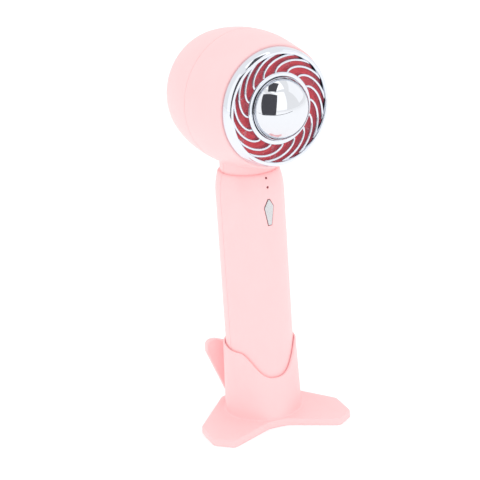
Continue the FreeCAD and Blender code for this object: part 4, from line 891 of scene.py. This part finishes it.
def stand():
    outline = plate_outline()
    points = [point for edge in outline for point in stand_column(edge)]
    rows = len(stand_column(outline[0]))
    shell = Shell().add(points, grid_faces(len(outline), rows, closed_rows=True), STAND)
    piece = make("stand_moulding", shell)
    plate = make("stand_plate", Shell().add(*upright_plate(), STAND))
    union = piece.modifiers.new("plate", "BOOLEAN")
    union.operation, union.object, union.solver = "UNION", plate, "EXACT"
    settle(piece)
    bpy.data.objects.remove(plate)
    install(piece, "stand_body", "stand_plastic", "stand")


head_front()
head_rear()
handle_front()
handle_rear()
end_cap()
power_button()
grille()
dome()
impeller()
stand()


# ---------------------------------------------------------------- studio

def aim(azimuth, elevation):
    """Unit vector from the object towards a direction: azimuth 0 is in front, 90 to the right."""
    turn, rise = math.radians(azimuth), math.radians(elevation)
    return Vector((math.sin(turn) * math.cos(rise), -math.cos(turn) * math.cos(rise), math.sin(rise)))


TARGET = Vector((-0.0055, 0.00335, 0.09373))
CAMERA_AZIMUTH, CAMERA_ELEVATION, CAMERA_ROLL = -31.18, 18.7, -3.83
CAMERA_DISTANCE, CAMERA_LENS = 0.9428, 142.3
STUDIO_MIDDLE = Vector((0, 0, 0.12))        # the point that the lights and cards face, in metres
FLOOR_HALF = 12.0
DARK = (0.075, 0.075, 0.085)


def camera():
    data = bpy.data.cameras.new("camera")
    data.lens, data.sensor_width = CAMERA_LENS, 36.0
    data.clip_start, data.clip_end = 0.01, 50.0
    piece = bpy.data.objects.new("camera", data)
    scene.collection.objects.link(piece)
    back = aim(CAMERA_AZIMUTH, CAMERA_ELEVATION)
    right = Vector((0, 0, 1)).cross(back).normalized()
    up = back.cross(right)
    roll = math.radians(CAMERA_ROLL)
    across = right * math.cos(roll) + up * math.sin(roll)
    upward = up * math.cos(roll) - right * math.sin(roll)
    place = Matrix((across, upward, back)).transposed().to_4x4()
    place.translation = TARGET + back * CAMERA_DISTANCE
    piece.matrix_world = place
    scene.camera = piece


def stand_off(piece, azimuth, elevation, distance):
    """Puts a light or a card at this distance, facing the object."""
    back = aim(azimuth, elevation)
    piece.location = STUDIO_MIDDLE + back * distance
    piece.rotation_mode = "QUATERNION"
    piece.rotation_quaternion = back.to_track_quat("Z", "Y")


def soft_box(name, azimuth, elevation, distance, width, height, power):
    """A white rectangular light, itself hidden from the camera."""
    data = bpy.data.lights.new(name, "AREA")
    data.shape, data.size, data.size_y = "RECTANGLE", width, height
    data.energy = power
    piece = bpy.data.objects.new(name, data)
    scene.collection.objects.link(piece)
    stand_off(piece, azimuth, elevation, distance)
    piece.visible_camera = False


def card(name, azimuth, elevation, distance, width, height, colour):
    """A plain dark card, hidden from the camera, that shows only in reflections."""
    work = bmesh.new()
    bmesh.ops.create_grid(work, x_segments=1, y_segments=1, size=0.5)
    bmesh.ops.scale(work, vec=(width, height, 1), verts=work.verts)
    mesh = bpy.data.meshes.new(name)
    work.to_mesh(mesh)
    work.free()
    piece = bpy.data.objects.new(name, mesh)
    scene.collection.objects.link(piece)
    stand_off(piece, azimuth, elevation, distance)
    piece.visible_camera = piece.visible_diffuse = piece.visible_shadow = False
    mesh.materials.append(finish(name, colour, rough=(0.8, 0.9), Specular_IOR_Level=0.0))


def floor():
    work = bmesh.new()
    bmesh.ops.create_grid(work, x_segments=24, y_segments=24, size=FLOOR_HALF)
    mesh = bpy.data.meshes.new("floor")
    work.to_mesh(mesh)
    work.free()
    piece = bpy.data.objects.new("floor", mesh)
    scene.collection.objects.link(piece)
    mesh.materials.append(finish("floor", (0.96, 0.96, 0.96), vary=0.004, patch=60, rough=(0.7, 0.8),
                                 grain=2.0, depth=0.004, Specular_IOR_Level=0.2,
                                 Emission_Color=(1.0, 1.0, 1.0, 1.0), Emission_Strength=0.12))


def surroundings(colour, strength):
    world = bpy.data.worlds.new("surroundings")
    world.use_nodes = True
    background = world.node_tree.nodes["Background"]
    background.inputs["Color"].default_value = (*colour, 1.0)
    background.inputs["Strength"].default_value = strength
    scene.world = world


camera()
floor()
surroundings((1.0, 1.0, 1.0), 1.0)
soft_box("key box", -14, 32, 1.5, 1.30, 1.7, 2.5)
soft_box("left box", -92, 28, 1.5, 1.20, 1.7, 1.3)
soft_box("fill box", 78, 30, 1.6, 1.3, 1.3, 1)
soft_box("top box", 0, 88, 1.6, 1.2, 1.2, 2)
card("dark card", -52, 22, 0.62, 0.58, 0.9, DARK)
card("upper card", -45, 83, 0.9, 0.38, 0.54, DARK)
card("table edge", -31, -9, 0.62, 1.9, 0.018, (0.16, 0.17, 0.19))
scene.view_settings.view_transform = "Standard"
